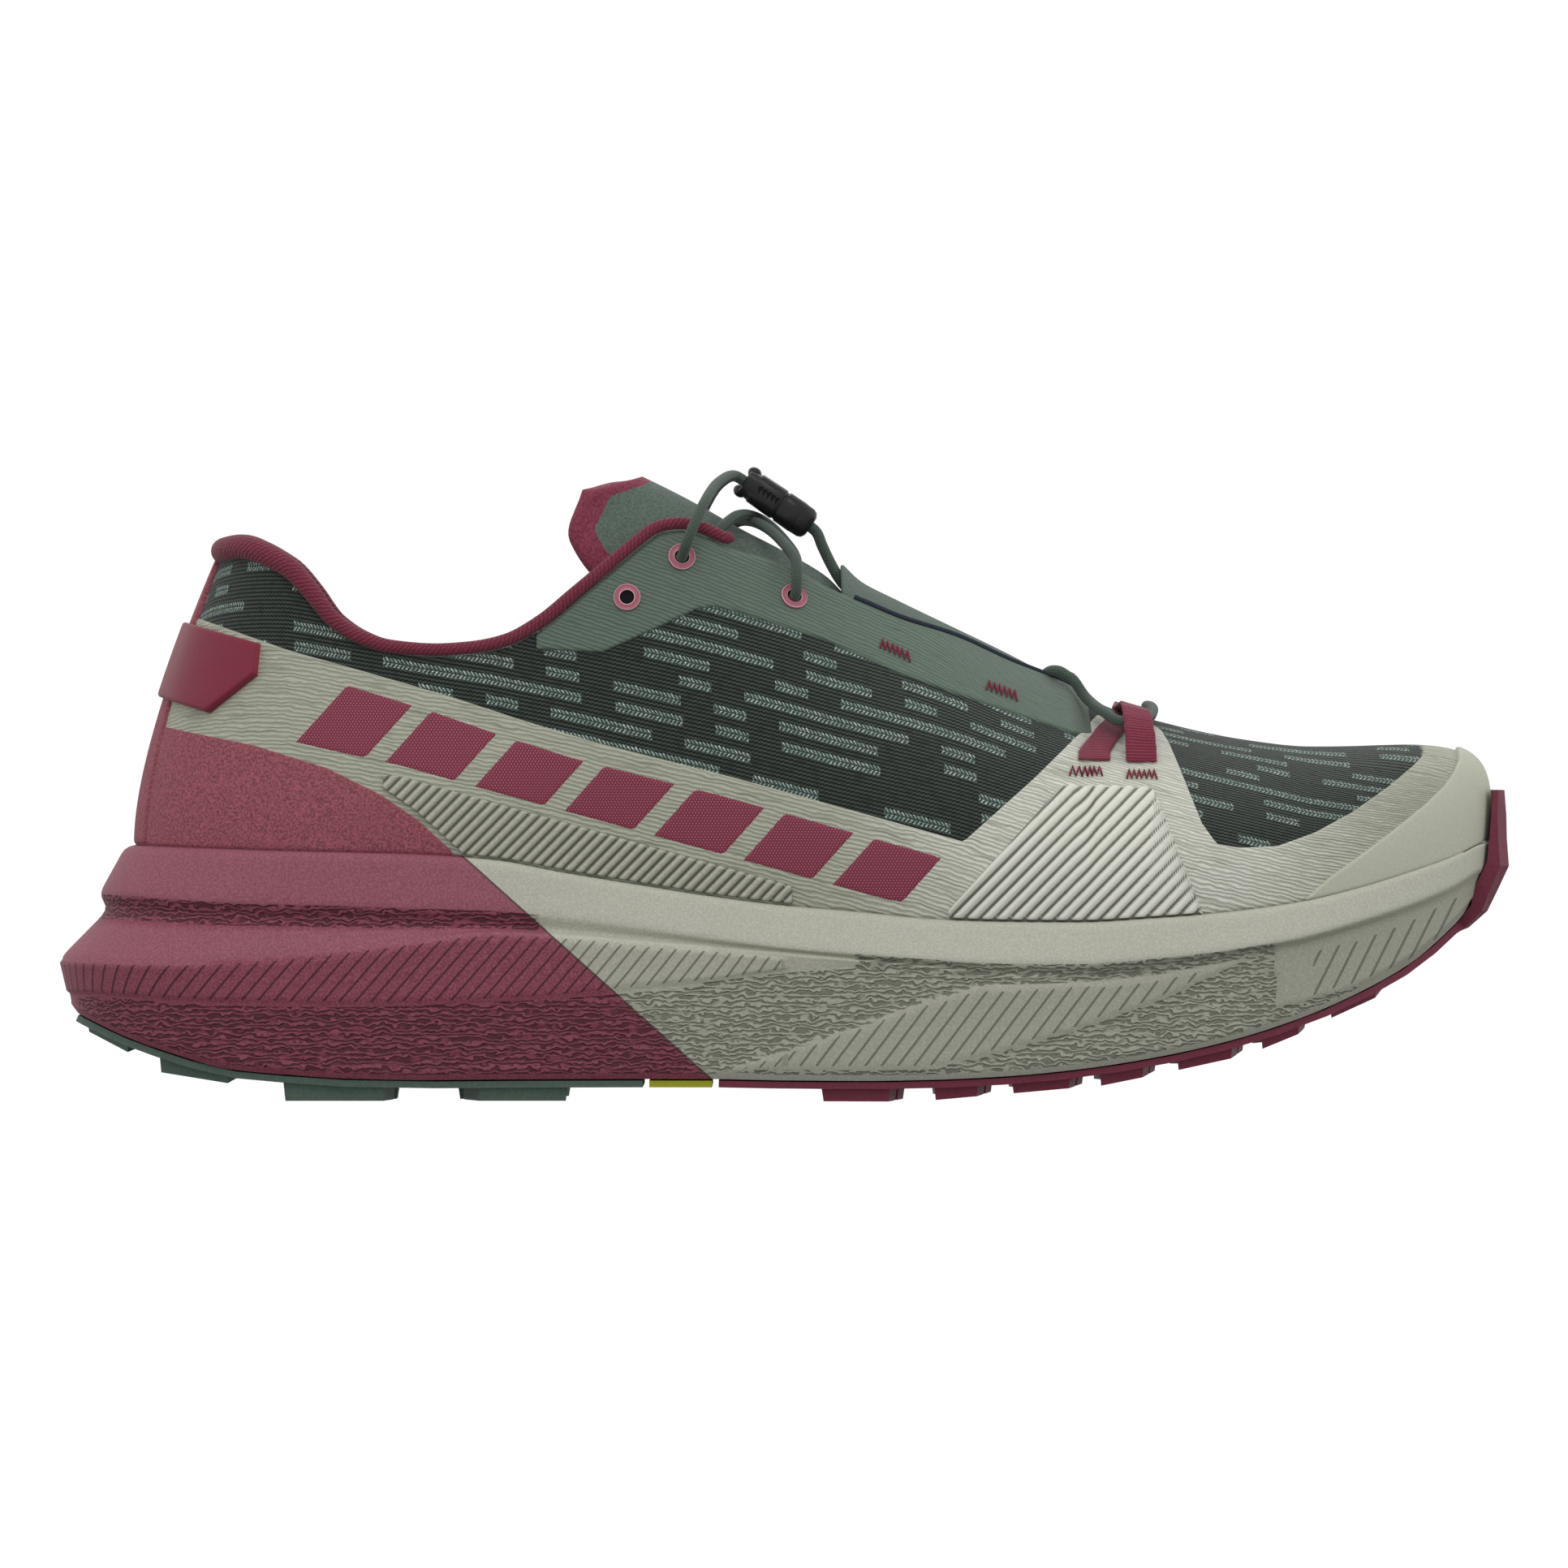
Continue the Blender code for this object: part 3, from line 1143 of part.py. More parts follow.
def lace_route(points, side):
    return [
        (station * LENGTH - HEEL_REST_X, side * out * SOLE_WIDTH, height * COLLAR_HEIGHT)
        for station, out, height in points
    ]


def build_lacing(parts, cutters):
    """Crossing over the tongue, cord ends and tails, and the front strand in its webbing loops."""
    # One bar of the crossing lies over the other, sunk half into it where they are joined.
    bars = []
    for word, side in (("outer", OUTER), ("inner", INNER)):
        route = np.array(lace_route(CROSSING, side))
        route[:, 2] += CORD / 4 * side
        bar = tube("bar_" + word, route, CORD, "cord_green", cutters)
        bars.append(solid_mesh(bar, parts if side == OUTER else cutters))
    crossing = bars[0]
    crossing.name = "lace_crossings"
    cut(crossing, bars[1], "UNION")
    for word, side in (("outer", OUTER), ("inner", INNER)):
        tube("lace_end_" + word, lace_route(LACE_END, side), CORD, "cord_green", parts)
        tube("lace_tail_" + word, lace_route(LACE_TAIL, side), CORD, "cord_green", parts)
    route = []
    for side, points in ((OUTER, FRONT_LACE), (INNER, FRONT_LACE[-2::-1])):
        for station, out, lift in points:
            x = station * LENGTH - HEEL_REST_X
            middle = SOLE_WIDTH * float(smooth(station, TOP["station"], TOP["middle"]))
            y = middle + side * out * SOLE_WIDTH
            route.append((x, y, WALL.height_at(x, y) + lift))
    tube("lace_front", route, CORD, "cord_green", parts)
    for word, side in (("outer", OUTER), ("inner", INNER)):
        front = add("lace_loop_" + word, webbing_leg(WEBBING_FRONT, side), "crimson_tape", parts)
        rear = add("leg_" + word, webbing_leg(WEBBING_REAR, side), None, cutters)
        cut(front, rear, "UNION")


def webbing_leg(leg, side):
    """One leg of a webbing loop, on the wall's layers at its foot and over the cord near its apex."""
    seat = WEBBING_SEAT
    points, normals = [], []
    for station, height, lift in zip(leg["station"], leg["height"], leg["lift"]):
        point, normal = WALL.find(station, height, side, seat + lift)
        points.append(point)
        normals.append(normal / np.linalg.norm(normal))
    ahead = np.gradient(np.array(points), axis=0)
    outer, inner = [], []
    for point, normal, direction in zip(points, normals, ahead):
        across = np.cross(normal, direction)
        half = across / np.linalg.norm(across) * WEBBING_WIDTH / 2
        inner.append([point - half, point + half])
        outer.append([point - half + normal * WEBBING_THICK, point + half + normal * WEBBING_THICK])
    return slab("webbing_leg", outer, inner)


def build_toggle(parts):
    """Cord lock: a grooved body and a separate end cap, in line."""
    rear = Vector((TOGGLE_REAR[0] * LENGTH - HEEL_REST_X, 0, TOGGLE_REAR[1] * COLLAR_HEIGHT))
    front = Vector((TOGGLE_FRONT[0] * LENGTH - HEEL_REST_X, 0, TOGGLE_FRONT[1] * COLLAR_HEIGHT))
    along = (front - rear).normalized()
    turn = along.to_track_quat("X", "Z").to_matrix().to_4x4()
    for name, start, length in (
        ("toggle_body", 0.0, TOGGLE_LENGTH),
        ("toggle_end", TOGGLE_LENGTH + CLEARANCE, TOGGLE_CAP),
    ):
        bpy.ops.mesh.primitive_cube_add(size=1)
        made = bpy.context.object
        made.name = name
        for vert in made.data.vertices:
            vert.co = (vert.co.x * length, vert.co.y * TOGGLE_WIDTH, vert.co.z * TOGGLE_THICK)
        made.matrix_world = Matrix.Translation(rear + along * (start + length / 2)) @ turn
        bevel = made.modifiers.new("rounding", "BEVEL")
        bevel.width = min(TOGGLE_THICK / 5, length / 4)
        bevel.segments = 2
        made.data.materials.append(material("black_plastic"))
        for owner in made.users_collection:
            owner.objects.unlink(made)
        parts.objects.link(made)


def build():
    for old in list(bpy.data.objects):
        bpy.data.objects.remove(old)
    parts = collection("trail_running_shoe")
    cutters = collection("cutters")
    build_midsole(parts, cutters)
    build_outsole(parts, cutters)
    build_insole(parts)
    build_upper(parts)
    build_overlays(parts)
    build_piping(parts)
    build_tongue(parts)
    build_eyelets(parts)
    build_lacing(parts, cutters)
    build_toggle(parts)


build()
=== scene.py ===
"""Looks of the right trail running shoe: fine surfaces on its solids' form, materials, light, camera."""

import math

import bmesh
import bpy
import numpy as np
from mathutils import Matrix, Vector


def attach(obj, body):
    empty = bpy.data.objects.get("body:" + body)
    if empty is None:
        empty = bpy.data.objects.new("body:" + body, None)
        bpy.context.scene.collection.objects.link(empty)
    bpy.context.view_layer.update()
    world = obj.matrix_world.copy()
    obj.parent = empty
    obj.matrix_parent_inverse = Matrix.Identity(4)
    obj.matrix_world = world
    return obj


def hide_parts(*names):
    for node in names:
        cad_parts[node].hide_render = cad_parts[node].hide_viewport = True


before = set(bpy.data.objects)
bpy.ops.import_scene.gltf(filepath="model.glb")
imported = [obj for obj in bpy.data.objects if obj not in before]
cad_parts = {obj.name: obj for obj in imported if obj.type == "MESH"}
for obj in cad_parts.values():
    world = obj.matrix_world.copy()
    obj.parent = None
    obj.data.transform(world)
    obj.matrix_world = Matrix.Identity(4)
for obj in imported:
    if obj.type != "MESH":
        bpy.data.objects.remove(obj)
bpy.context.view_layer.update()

# Driving sizes of the shoe, in metres
LENGTH = 0.280
SOLE_WIDTH = 0.099
STACK = 0.049
COLLAR_HEIGHT = 0.108
HEEL_REST_X = 0.058

# Walls, layers and clearances
CLEARANCE = 0.0003
UPPER_WALL = 0.0022
COLLAR_PAD = 0.0050
TONGUE_THICK = 0.0032
POCKET_THICK = 0.0008
EDGE_BEVEL = 0.0013


# Lacing
CORD = 0.0021
EYELET_RADIUS = 0.0026
EYELET_HOLE = 0.0014
WEBBING_THICK = 0.0006
WEBBING_SEAT = 0.0022
TOGGLE_LENGTH = 0.0125
TOGGLE_CAP = 0.0030
TOGGLE_WIDTH = 0.0090
TOGGLE_THICK = 0.0064

OUTER, INNER = -1, 1


def table(columns, *rows):
    return {name: np.array(values) for name, values in zip(columns.split(), zip(*rows))}


# Plan of the sole at its widest: full width and its middle line, as shares of SOLE_WIDTH
PLAN = table(
    "station width middle",
    (0.00, 0.747, 0.000),
    (0.15, 0.747, 0.000),
    (0.25, 0.747, 0.000),
    (0.35, 0.697, -0.015),
    (0.45, 0.687, -0.040),
    (0.55, 0.788, -0.050),
    (0.65, 0.929, -0.030),
    (0.72, 1.000, 0.005),
    (0.80, 0.970, 0.040),
    (0.88, 0.930, 0.080),
    (0.94, 0.870, 0.105),
    (1.00, 0.810, 0.120),
)
HEEL_ROUND = 0.13
TOE_ROUND = 0.20

# Side of the sole: heights of its lines as shares of STACK
SIDE = table(
    "station rim lip groove flare band bottom bed",
    (0.00, 1.000, 0.810, 0.745, 0.557, 0.400, 0.370, 0.66),
    (0.02, 1.000, 0.810, 0.743, 0.551, 0.406, 0.320, 0.66),
    (0.05, 1.000, 0.803, 0.740, 0.547, 0.400, 0.245, 0.66),
    (0.08, 0.995, 0.790, 0.730, 0.546, 0.386, 0.187, 0.66),
    (0.12, 0.987, 0.778, 0.717, 0.556, 0.377, 0.125, 0.66),
    (0.16, 0.980, 0.770, 0.710, 0.572, 0.372, 0.103, 0.66),
    (0.20, 0.975, 0.765, 0.700, 0.592, 0.370, 0.088, 0.65),
    (0.25, 0.967, 0.756, 0.690, 0.627, 0.377, 0.082, 0.65),
    (0.30, 0.947, 0.747, 0.682, 0.660, 0.390, 0.084, 0.64),
    (0.35, 0.895, 0.718, 0.660, 0.648, 0.406, 0.085, 0.62),
    (0.40, 0.848, 0.678, 0.636, 0.624, 0.430, 0.086, 0.59),
    (0.45, 0.803, 0.635, 0.612, 0.600, 0.461, 0.086, 0.56),
    (0.50, 0.767, 0.598, 0.586, 0.574, 0.500, 0.082, 0.53),
    (0.55, 0.742, 0.573, 0.561, 0.549, 0.520, 0.081, 0.50),
    (0.60, 0.715, 0.553, 0.535, 0.523, 0.505, 0.086, 0.47),
    (0.65, 0.705, 0.541, 0.496, 0.484, 0.472, 0.100, 0.46),
    (0.70, 0.703, 0.538, 0.503, 0.491, 0.479, 0.127, 0.45),
    (0.75, 0.718, 0.556, 0.530, 0.518, 0.506, 0.170, 0.455),
    (0.80, 0.740, 0.586, 0.574, 0.562, 0.550, 0.231, 0.48),
    (0.85, 0.778, 0.634, 0.622, 0.610, 0.598, 0.318, 0.53),
    (0.89, 0.830, 0.695, 0.683, 0.671, 0.659, 0.412, 0.61),
    (0.93, 0.898, 0.767, 0.755, 0.743, 0.731, 0.535, 0.71),
    (0.96, 0.957, 0.837, 0.825, 0.813, 0.800, 0.675, 0.83),
    (0.98, 1.010, 0.900, 0.888, 0.876, 0.862, 0.790, 0.90),
    (1.00, 1.037, 0.930, 0.915, 0.900, 0.885, 0.850, 0.95),
)

# Lines round the midsole: ends as stations, insets from the widest plan as shares of SOLE_WIDTH
RAILS = {
    "bed": dict(start=0.062, end=0.966, height="bed", heel_inset=0.075, ball_inset=0.072),
    "rim_inner": dict(start=0.053, end=0.9865, height="rim", heel_inset=0.046, ball_inset=0.040),
    "rim_outer": dict(start=0.046, end=0.9900, height="rim", heel_inset=0.034, ball_inset=0.027),
    "lip": dict(start=0.0275, end=0.9880, height="lip", heel_inset=0.020, ball_inset=0.000),
    "groove": dict(start=0.032, end=0.9850, height="groove", heel_inset=0.028, ball_inset=0.012),
    "flare": dict(start=0.000, end=0.9840, height="flare", heel_inset=0.000, ball_inset=0.011),
    "band": dict(start=0.0065, end=0.9830, height="band", heel_inset=0.010, ball_inset=0.013),
    "edge": dict(start=0.0072, end=0.9810, height="bottom", heel_inset=0.020, ball_inset=0.024),
    "bottom": dict(start=0.0125, end=0.9760, height="bottom", heel_inset=0.033, ball_inset=0.038),
}
INSET_CHANGE = (0.30, 0.62)

# Shares of the way round one side, heel to toe, at which the sole and upper have a section
ROUND = (
    0, 0.005, 0.014, 0.03, 0.055, 0.09, 0.125, 0.165, 0.21, 0.25, 0.30, 0.34, 0.375, 0.41, 0.45,
    0.50, 0.545, 0.60, 0.65, 0.692, 0.706, 0.735, 0.79, 0.84, 0.885, 0.925, 0.955, 0.978, 0.992, 1.0,
)

# Edges of the grooved bands ahead of the heel, in side view, as shares of STACK
MIDDLE_BAND_TOP = table(
    "station height",
    (0.448, 0.1014), (0.520, 0.2358), (0.548, 0.2887), (0.591, 0.3791), (0.633, 0.4474), (0.685, 0.4584),
    (0.729, 0.4717), (0.757, 0.4937), (0.813, 0.551),
)
MIDDLE_BAND_BOTTOM = table(
    "station height",
    (0.448, 0.1102), (0.594, 0.1234), (0.643, 0.1873), (0.700, 0.2843), (0.757, 0.3989), (0.813, 0.551),
)
TOE_BAND_TOP = table("station height", (0.838, 0.5687), (0.895, 0.6436), (0.924, 0.7009), (0.975, 0.842))
TOE_BAND_BOTTOM = table(
    "station height", (0.838, 0.3637), (0.895, 0.4518), (0.930, 0.5356), (0.952, 0.6282), (0.975, 0.7604)
)

# Where the midsole's two foams meet: a slanted plane through the stations "top" and "bottom", at the
# heights that the rim and the underside have at the station "level"
FOAM_SPLIT = {"top": 0.2786, "bottom": 0.4500, "level": 0.25}

# Top of the upper against the way round: its station, half gap and middle as shares of SOLE_WIDTH
TOP = table(
    "round station gap middle",
    (0.00, 0.1130, 0.000, 0.000),
    (0.02, 0.1150, 0.080, 0.000),
    (0.05, 0.1260, 0.150, 0.000),
    (0.10, 0.1560, 0.222, 0.000),
    (0.15, 0.1920, 0.260, 0.000),
    (0.20, 0.2370, 0.275, 0.000),
    (0.25, 0.2850, 0.275, 0.000),
    (0.30, 0.3300, 0.265, 0.000),
    (0.35, 0.3730, 0.250, 0.000),
    (0.40, 0.4150, 0.225, 0.000),
    (0.45, 0.4560, 0.200, 0.000),
    (0.50, 0.5000, 0.170, 0.000),
    (0.55, 0.5500, 0.145, 0.000),
    (0.60, 0.6000, 0.125, 0.002),
    (0.65, 0.6500, 0.105, 0.005),
    (0.692, 0.6930, 0.080, 0.008),
    (0.706, 0.7060, 0.000, 0.010),
    (0.75, 0.7450, 0.000, 0.020),
    (0.80, 0.7850, 0.000, 0.040),
    (0.90, 0.8450, 0.000, 0.070),
    (1.00, 0.8850, 0.000, 0.100),
)

# Top line of the upper in side view, as shares of COLLAR_HEIGHT
TOPLINE = table(
    "station height",
    (0.110, 0.975), (0.127, 0.982), (0.156, 0.948), (0.174, 0.896), (0.186, 0.852), (0.206, 0.815),
    (0.229, 0.794), (0.261, 0.787), (0.286, 0.791), (0.310, 0.804), (0.335, 0.839), (0.359, 0.890),
    (0.384, 0.944), (0.404, 0.987), (0.416, 1.008), (0.429, 1.012), (0.441, 1.005), (0.463, 0.981),
    (0.496, 0.957), (0.534, 0.907), (0.550, 0.890), (0.580, 0.857), (0.618, 0.825), (0.655, 0.781),
    (0.692, 0.742), (0.706, 0.722), (0.727, 0.696), (0.754, 0.677), (0.785, 0.657), (0.811, 0.643),
    (0.850, 0.629), (0.900, 0.626),
)

# How a section of the upper bulges: handles up from the rim and down from the top as shares of
# COLLAR_HEIGHT, outward ones as shares of SOLE_WIDTH
BULGE = table(
    "round rise rim_out drop top_out",
    (0.00, 0.160, 0.000, 0.075, 0.037),
    (0.20, 0.130, 0.020, 0.130, 0.025),
    (0.35, 0.185, 0.025, 0.165, 0.040),
    (0.50, 0.200, 0.030, 0.110, 0.090),
    (0.60, 0.230, 0.038, 0.074, 0.140),
    (0.70, 0.220, 0.038, 0.037, 0.180),
    (0.75, 0.200, 0.030, 0.010, 0.230),
    (0.85, 0.180, 0.020, 0.000, 0.250),
    (1.00, 0.150, 0.008, -0.022, 0.285),
)
BULGE_STEPS = 40

# Thickness of the upper's wall, from the plain wall (0) to the padded collar (1), round one side
PADDING = table("round share", (0.0, 1.0), (0.30, 1.0), (0.42, 0.30), (0.50, 0.0), (1.0, 0.0))

# Edges of the overlays in side view: stations, and shares of the height from STACK to COLLAR_HEIGHT
COUNTER_TOP = table(
    "station height",
    (0.000, 0.4142), (0.065, 0.3941), (0.137, 0.3245), (0.187, 0.2495), (0.224, 0.1635), (0.249, 0.0829),
    (0.2785, -0.0434), (0.3000, -0.1349),
)
BAND_TOP = table(
    "station height",
    (0.000, 0.7529), (0.094, 0.7437), (0.161, 0.6321), (0.204, 0.5753), (0.273, 0.4801), (0.322, 0.4033),
    (0.372, 0.3319), (0.466, 0.2184), (0.537, 0.125), (0.622, 0.0115), (0.670, 0.2147), (0.715, 0.4216),
    (0.757, 0.3813), (0.764, 0.3264), (0.785, 0.0701), (0.795, 0.0042), (0.811, -0.0086), (0.837, -0.0031),
    (0.863, 0.0408), (0.889, 0.1067), (0.914, 0.1873), (0.932, 0.255), (0.940, 0.2916), (0.942, 0.4508),
)
TOE_CAP_TOP = table(
    "station height",
    (0.850, -0.2081), (0.854, -0.1752), (0.874, -0.0965), (0.895, -0.0269), (0.916, 0.0463), (0.938, 0.1268),
    (0.952, 0.1873), (0.960, 0.233), (0.965, 0.2788), (0.966, 0.4875),
)
REAR_RIBS_TOP = table(
    "station height",
    (0.226, 0.2294), (0.236, 0.2257), (0.297, 0.1452), (0.367, 0.0555), (0.438, -0.0379), (0.571, -0.2118),
)
REAR_RIBS_BOTTOM = table("station height", (0.226, 0.1799), (0.249, 0.1049), (0.2785, -0.0214), (0.300, -0.2814))
FRONT_RIBS_TOP = table(
    "station height", (0.608, -0.2264), (0.689, 0.1909), (0.751, 0.1799), (0.785, -0.2209)
)
EYESTAY_BOTTOM = table(
    "station height",
    (0.319, 0.6394), (0.375, 0.6266), (0.409, 0.698), (0.440, 0.7675), (0.452, 0.7748), (0.467, 0.7565),
    (0.526, 0.6687), (0.581, 0.5515), (0.631, 0.4673), (0.697, 0.363), (0.706, 0.3557),
)
TAB_TOP = table("station height", (0.000, 0.7401), (0.081, 0.7364), (0.160, 0.6266))
TAB_BOTTOM = table("station height", (0.000, 0.5149), (0.062, 0.4911), (0.107, 0.4252), (0.160, 0.6247))


# Tongue along its middle: station and height (of COLLAR_HEIGHT), half width, how far its sides lie
# back (of SOLE_WIDTH) and down (of COLLAR_HEIGHT)
TONGUE = table(
    "station height half back down",
    (0.735, 0.640, 0.090, 0.000, 0.012),
    (0.700, 0.690, 0.105, 0.000, 0.020),
    (0.665, 0.740, 0.125, 0.000, 0.035),
    (0.625, 0.785, 0.150, 0.000, 0.052),
    (0.590, 0.828, 0.170, 0.010, 0.080),
    (0.555, 0.868, 0.180, 0.030, 0.115),
    (0.528, 0.935, 0.185, 0.060, 0.150),
    (0.500, 0.978, 0.190, 0.110, 0.170),
    (0.468, 1.021, 0.190, 0.160, 0.150),
    (0.443, 1.058, 0.185, 0.195, 0.120),
    (0.421, 1.088, 0.170, 0.180, 0.085),
    (0.402, 1.112, 0.145, 0.100, 0.033),
)

# Pocket on the instep: its middle line, half width and the fall to its edges
POCKET = table(
    "station height half down",
    (0.5405, 0.954, 0.110, 0.052),
    (0.5525, 0.925, 0.110, 0.048),
    (0.580, 0.888, 0.110, 0.042),
    (0.612, 0.848, 0.098, 0.030),
    (0.655, 0.794, 0.084, 0.020),
    (0.684, 0.754, 0.066, 0.014),
)

# Eyelets in side view: station and height (of COLLAR_HEIGHT)
EYELETS = table("station height", (0.4293, 0.964), (0.3921, 0.892), (0.5057, 0.893))

# Lacing of the outer side, mirrored for the inner one: station, share of SOLE_WIDTH outward,
# share of COLLAR_HEIGHT
CROSSING = (
    (0.5066, 0.225, 0.914), (0.5086, 0.218, 0.937), (0.5075, 0.195, 0.966), (0.5000, 0.150, 0.994),
    (0.4890, 0.080, 1.022), (0.4771, 0.000, 1.037), (0.4671, -0.060, 1.036), (0.4580, -0.110, 1.018),
    (0.4500, -0.136, 0.998),
)
LACE_END = (
    (0.4300, 0.262, 0.968), (0.4330, 0.268, 0.990), (0.4385, 0.262, 1.025), (0.4450, 0.225, 1.062),
    (0.4520, 0.150, 1.092), (0.4590, 0.080, 1.108), (0.4640, 0.040, 1.113), (0.4685, 0.026, 1.110),
)
LACE_TAIL = (
    (0.5215, 0.018, 1.0140), (0.5260, 0.020, 0.988), (0.5325, 0.024, 0.953), (0.5400, 0.028, 0.9215),
    (0.5500, 0.030, 0.8960), (0.5600, 0.030, 0.877),
)
# Front of the lacing: station, share of SOLE_WIDTH outward, and its middle's height over the wall
FRONT_LACE = (
    (0.6945, 0.125, 0.0027), (0.6990, 0.130, 0.0027), (0.7060, 0.138, 0.0029), (0.7125, 0.165, 0.0032),
    (0.7195, 0.215, 0.0043), (0.7265, 0.245, 0.0050), (0.7350, 0.252, 0.0048), (0.7425, 0.222, 0.0036),
    (0.7505, 0.170, 0.0030), (0.7535, 0.110, 0.0028), (0.7525, 0.060, 0.0025), (0.7505, 0.020, 0.0023),
    (0.7500, -0.010, 0.0023),
)
# Webbing loop in side view: station, height and seat over the wall's layers, from foot to apex
WEBBING_REAR = table(
    "station height lift",
    (0.7080, 0.594, 0.0), (0.7160, 0.622, 0.0), (0.7230, 0.645, 0.0), (0.7290, 0.660, 0.0),
    (0.7340, 0.672, 0.0),
)
WEBBING_FRONT = table(
    "station height lift",
    (0.7440, 0.587, 0.0), (0.7425, 0.610, 0.0021), (0.7400, 0.632, 0.0039), (0.7385, 0.643, 0.0043),
    (0.7370, 0.651, 0.0040), (0.7345, 0.672, 0.0001),
)

# Cord lock: middles of its two ends
TOGGLE_REAR = (0.4725, 1.104)
TOGGLE_FRONT = (0.5165, 1.0255)


def smooth(at, stations, values):
    """Value on a curve through the table's points that never overshoots them."""
    at = np.clip(np.asarray(at, float), stations[0], stations[-1])
    steps = np.diff(stations)
    slopes = np.diff(values) / steps
    tangents = np.zeros(len(values))
    product = slopes[:-1] * slopes[1:]
    turning = product > 0
    sums = np.where(turning, slopes[:-1] + slopes[1:], 1.0)
    tangents[1:-1] = np.where(turning, 2 * product / sums, 0.0)
    tangents[0], tangents[-1] = slopes[0], slopes[-1]
    i = np.clip(np.searchsorted(stations, at) - 1, 0, len(steps) - 1)
    t = (at - stations[i]) / steps[i]
    h = steps[i]
    return (
        values[i] * (1 + 2 * t) * (1 - t) ** 2
        + h * tangents[i] * t * (1 - t) ** 2
        + values[i + 1] * t * t * (3 - 2 * t)
        - h * tangents[i + 1] * t * t * (1 - t)
    )


def side_height(column, x):
    """Height of one of the lines of the sole's side."""
    return STACK * smooth(x / LENGTH, SIDE["station"], SIDE[column])


def edge_height(edge, x):
    """Height of an overlay's edge, straight between its points."""
    return STACK + (COLLAR_HEIGHT - STACK) * np.interp(x / LENGTH, edge["station"], edge["height"])


def band_height(edge, x):
    """Height of the edge of a grooved band, straight between its points."""
    return STACK * np.interp(x / LENGTH, edge["station"], edge["height"])


def closing(share):
    """Round ends of the plan: 0 at heel and toe, 1 between them."""
    heel = max(0.0, 1 - share / HEEL_ROUND)
    toe = max(0.0, 1 - (1 - share) / TOE_ROUND)
    return math.sqrt(max(0.0, 1 - heel**2)) * math.sqrt(max(0.0, 1 - toe**2))


def rail_point(name, share, side, inset=0.0):
    """Point of a line round the sole, at a share of its way from heel to toe."""
    rail = RAILS[name]
    start = rail["start"] * LENGTH + inset
    end = rail["end"] * LENGTH - inset
    x = start + (end - start) * share
    blend = float(smooth(share, np.array(INSET_CHANGE), np.array([0.0, 1.0])))
    own = rail["heel_inset"] + (rail["ball_inset"] - rail["heel_inset"]) * blend
    width = SOLE_WIDTH * float(smooth(share, PLAN["station"], PLAN["width"]))
    middle = SOLE_WIDTH * float(smooth(share, PLAN["station"], PLAN["middle"]))
    half = (width / 2 - own * SOLE_WIDTH - inset) * closing(share)
    z = float(side_height(rail["height"], x))
    if name == "edge":
        z += EDGE_BEVEL
    return np.array([x - HEEL_REST_X, middle + side * half, z])


def outward(share, side):
    """Direction away from the shoe in plan, at a share of the way round."""
    if share <= 0 or share >= 1:
        return np.array([-1.0 if share <= 0 else 1.0, 0.0, 0.0])
    reach = min(0.006, share, 1 - share)
    along = rail_point("rim_inner", share + reach, side) - rail_point("rim_inner", share - reach, side)
    normal = np.array([along[1], -along[0], 0.0]) * -side
    return normal / np.linalg.norm(normal)


def upper_column(side, share):
    """Outer face of the upper from its feather edge to its top, at a share of the way round."""
    feather = rail_point("bed", share, side, CLEARANCE)
    feather[2] += CLEARANCE
    rim = rail_point("rim_inner", share, side, CLEARANCE)
    rim[2] += CLEARANCE
    station = float(smooth(share, TOP["round"], TOP["station"]))
    gap = SOLE_WIDTH * float(smooth(share, TOP["round"], TOP["gap"]))
    middle = SOLE_WIDTH * float(smooth(share, TOP["round"], TOP["middle"]))
    height = COLLAR_HEIGHT * float(smooth(station, TOPLINE["station"], TOPLINE["height"]))
    top = np.array([station * LENGTH - HEEL_REST_X, middle + side * gap, height])
    away = outward(share, side)
    up = np.array([0.0, 0.0, 1.0])
    rise, rim_out, drop, top_out = (
        float(smooth(share, BULGE["round"], BULGE[key])) for key in ("rise", "rim_out", "drop", "top_out")
    )
    low = rim + away * rim_out * SOLE_WIDTH + up * rise * COLLAR_HEIGHT
    high = top + away * top_out * SOLE_WIDTH - up * drop * COLLAR_HEIGHT
    points = [feather]
    for step in range(BULGE_STEPS + 1):
        t = step / BULGE_STEPS
        points.append((1 - t) ** 3 * rim + 3 * t * (1 - t) ** 2 * low + 3 * t * t * (1 - t) * high + t**3 * top)
    return points


# Shares of the way round one side in finer steps than the solids' own
FINE = np.interp(np.linspace(0, len(ROUND) - 1, (len(ROUND) - 1) * 9 + 1), np.arange(len(ROUND)), ROUND)
SIDES = ("outer", OUTER), ("inner", INNER)
# Shares of the way round between which the throat's edge runs
THROAT_START = 0.30
THROAT_END = 0.706

# Camera: lens and sensor in millimetres, width and centre of what it shows at the shoe
LENS = 450
SENSOR = 36
VIEW_END = 20
VIEW_WIDTH = 0.300
VIEW_CENTRE = (0.0819, -0.036, 0.0607)

# Studio's brightness from straight below (0) to straight above (1), and lamps: place, size and power
STUDIO = ((0.0, 0.20), (0.40, 0.28), (0.465, 1.0), (0.55, 1.0), (0.66, 0.62), (1.0, 0.72))
STUDIO_STRENGTH = 1.04
LAMPS = {
    "key": ((0.10, -0.9, 1.2), 0.8, 4.2),
    "rear": ((-0.9, -0.4, 0.5), 0.5, 0.6),
    "front": ((1.1, -0.2, 0.6), 0.5, 1.2),
    "back": ((0.1, 0.9, 0.9), 0.8, 2.0),
}
LAMP_TARGET = (0.08, 0, 0.05)

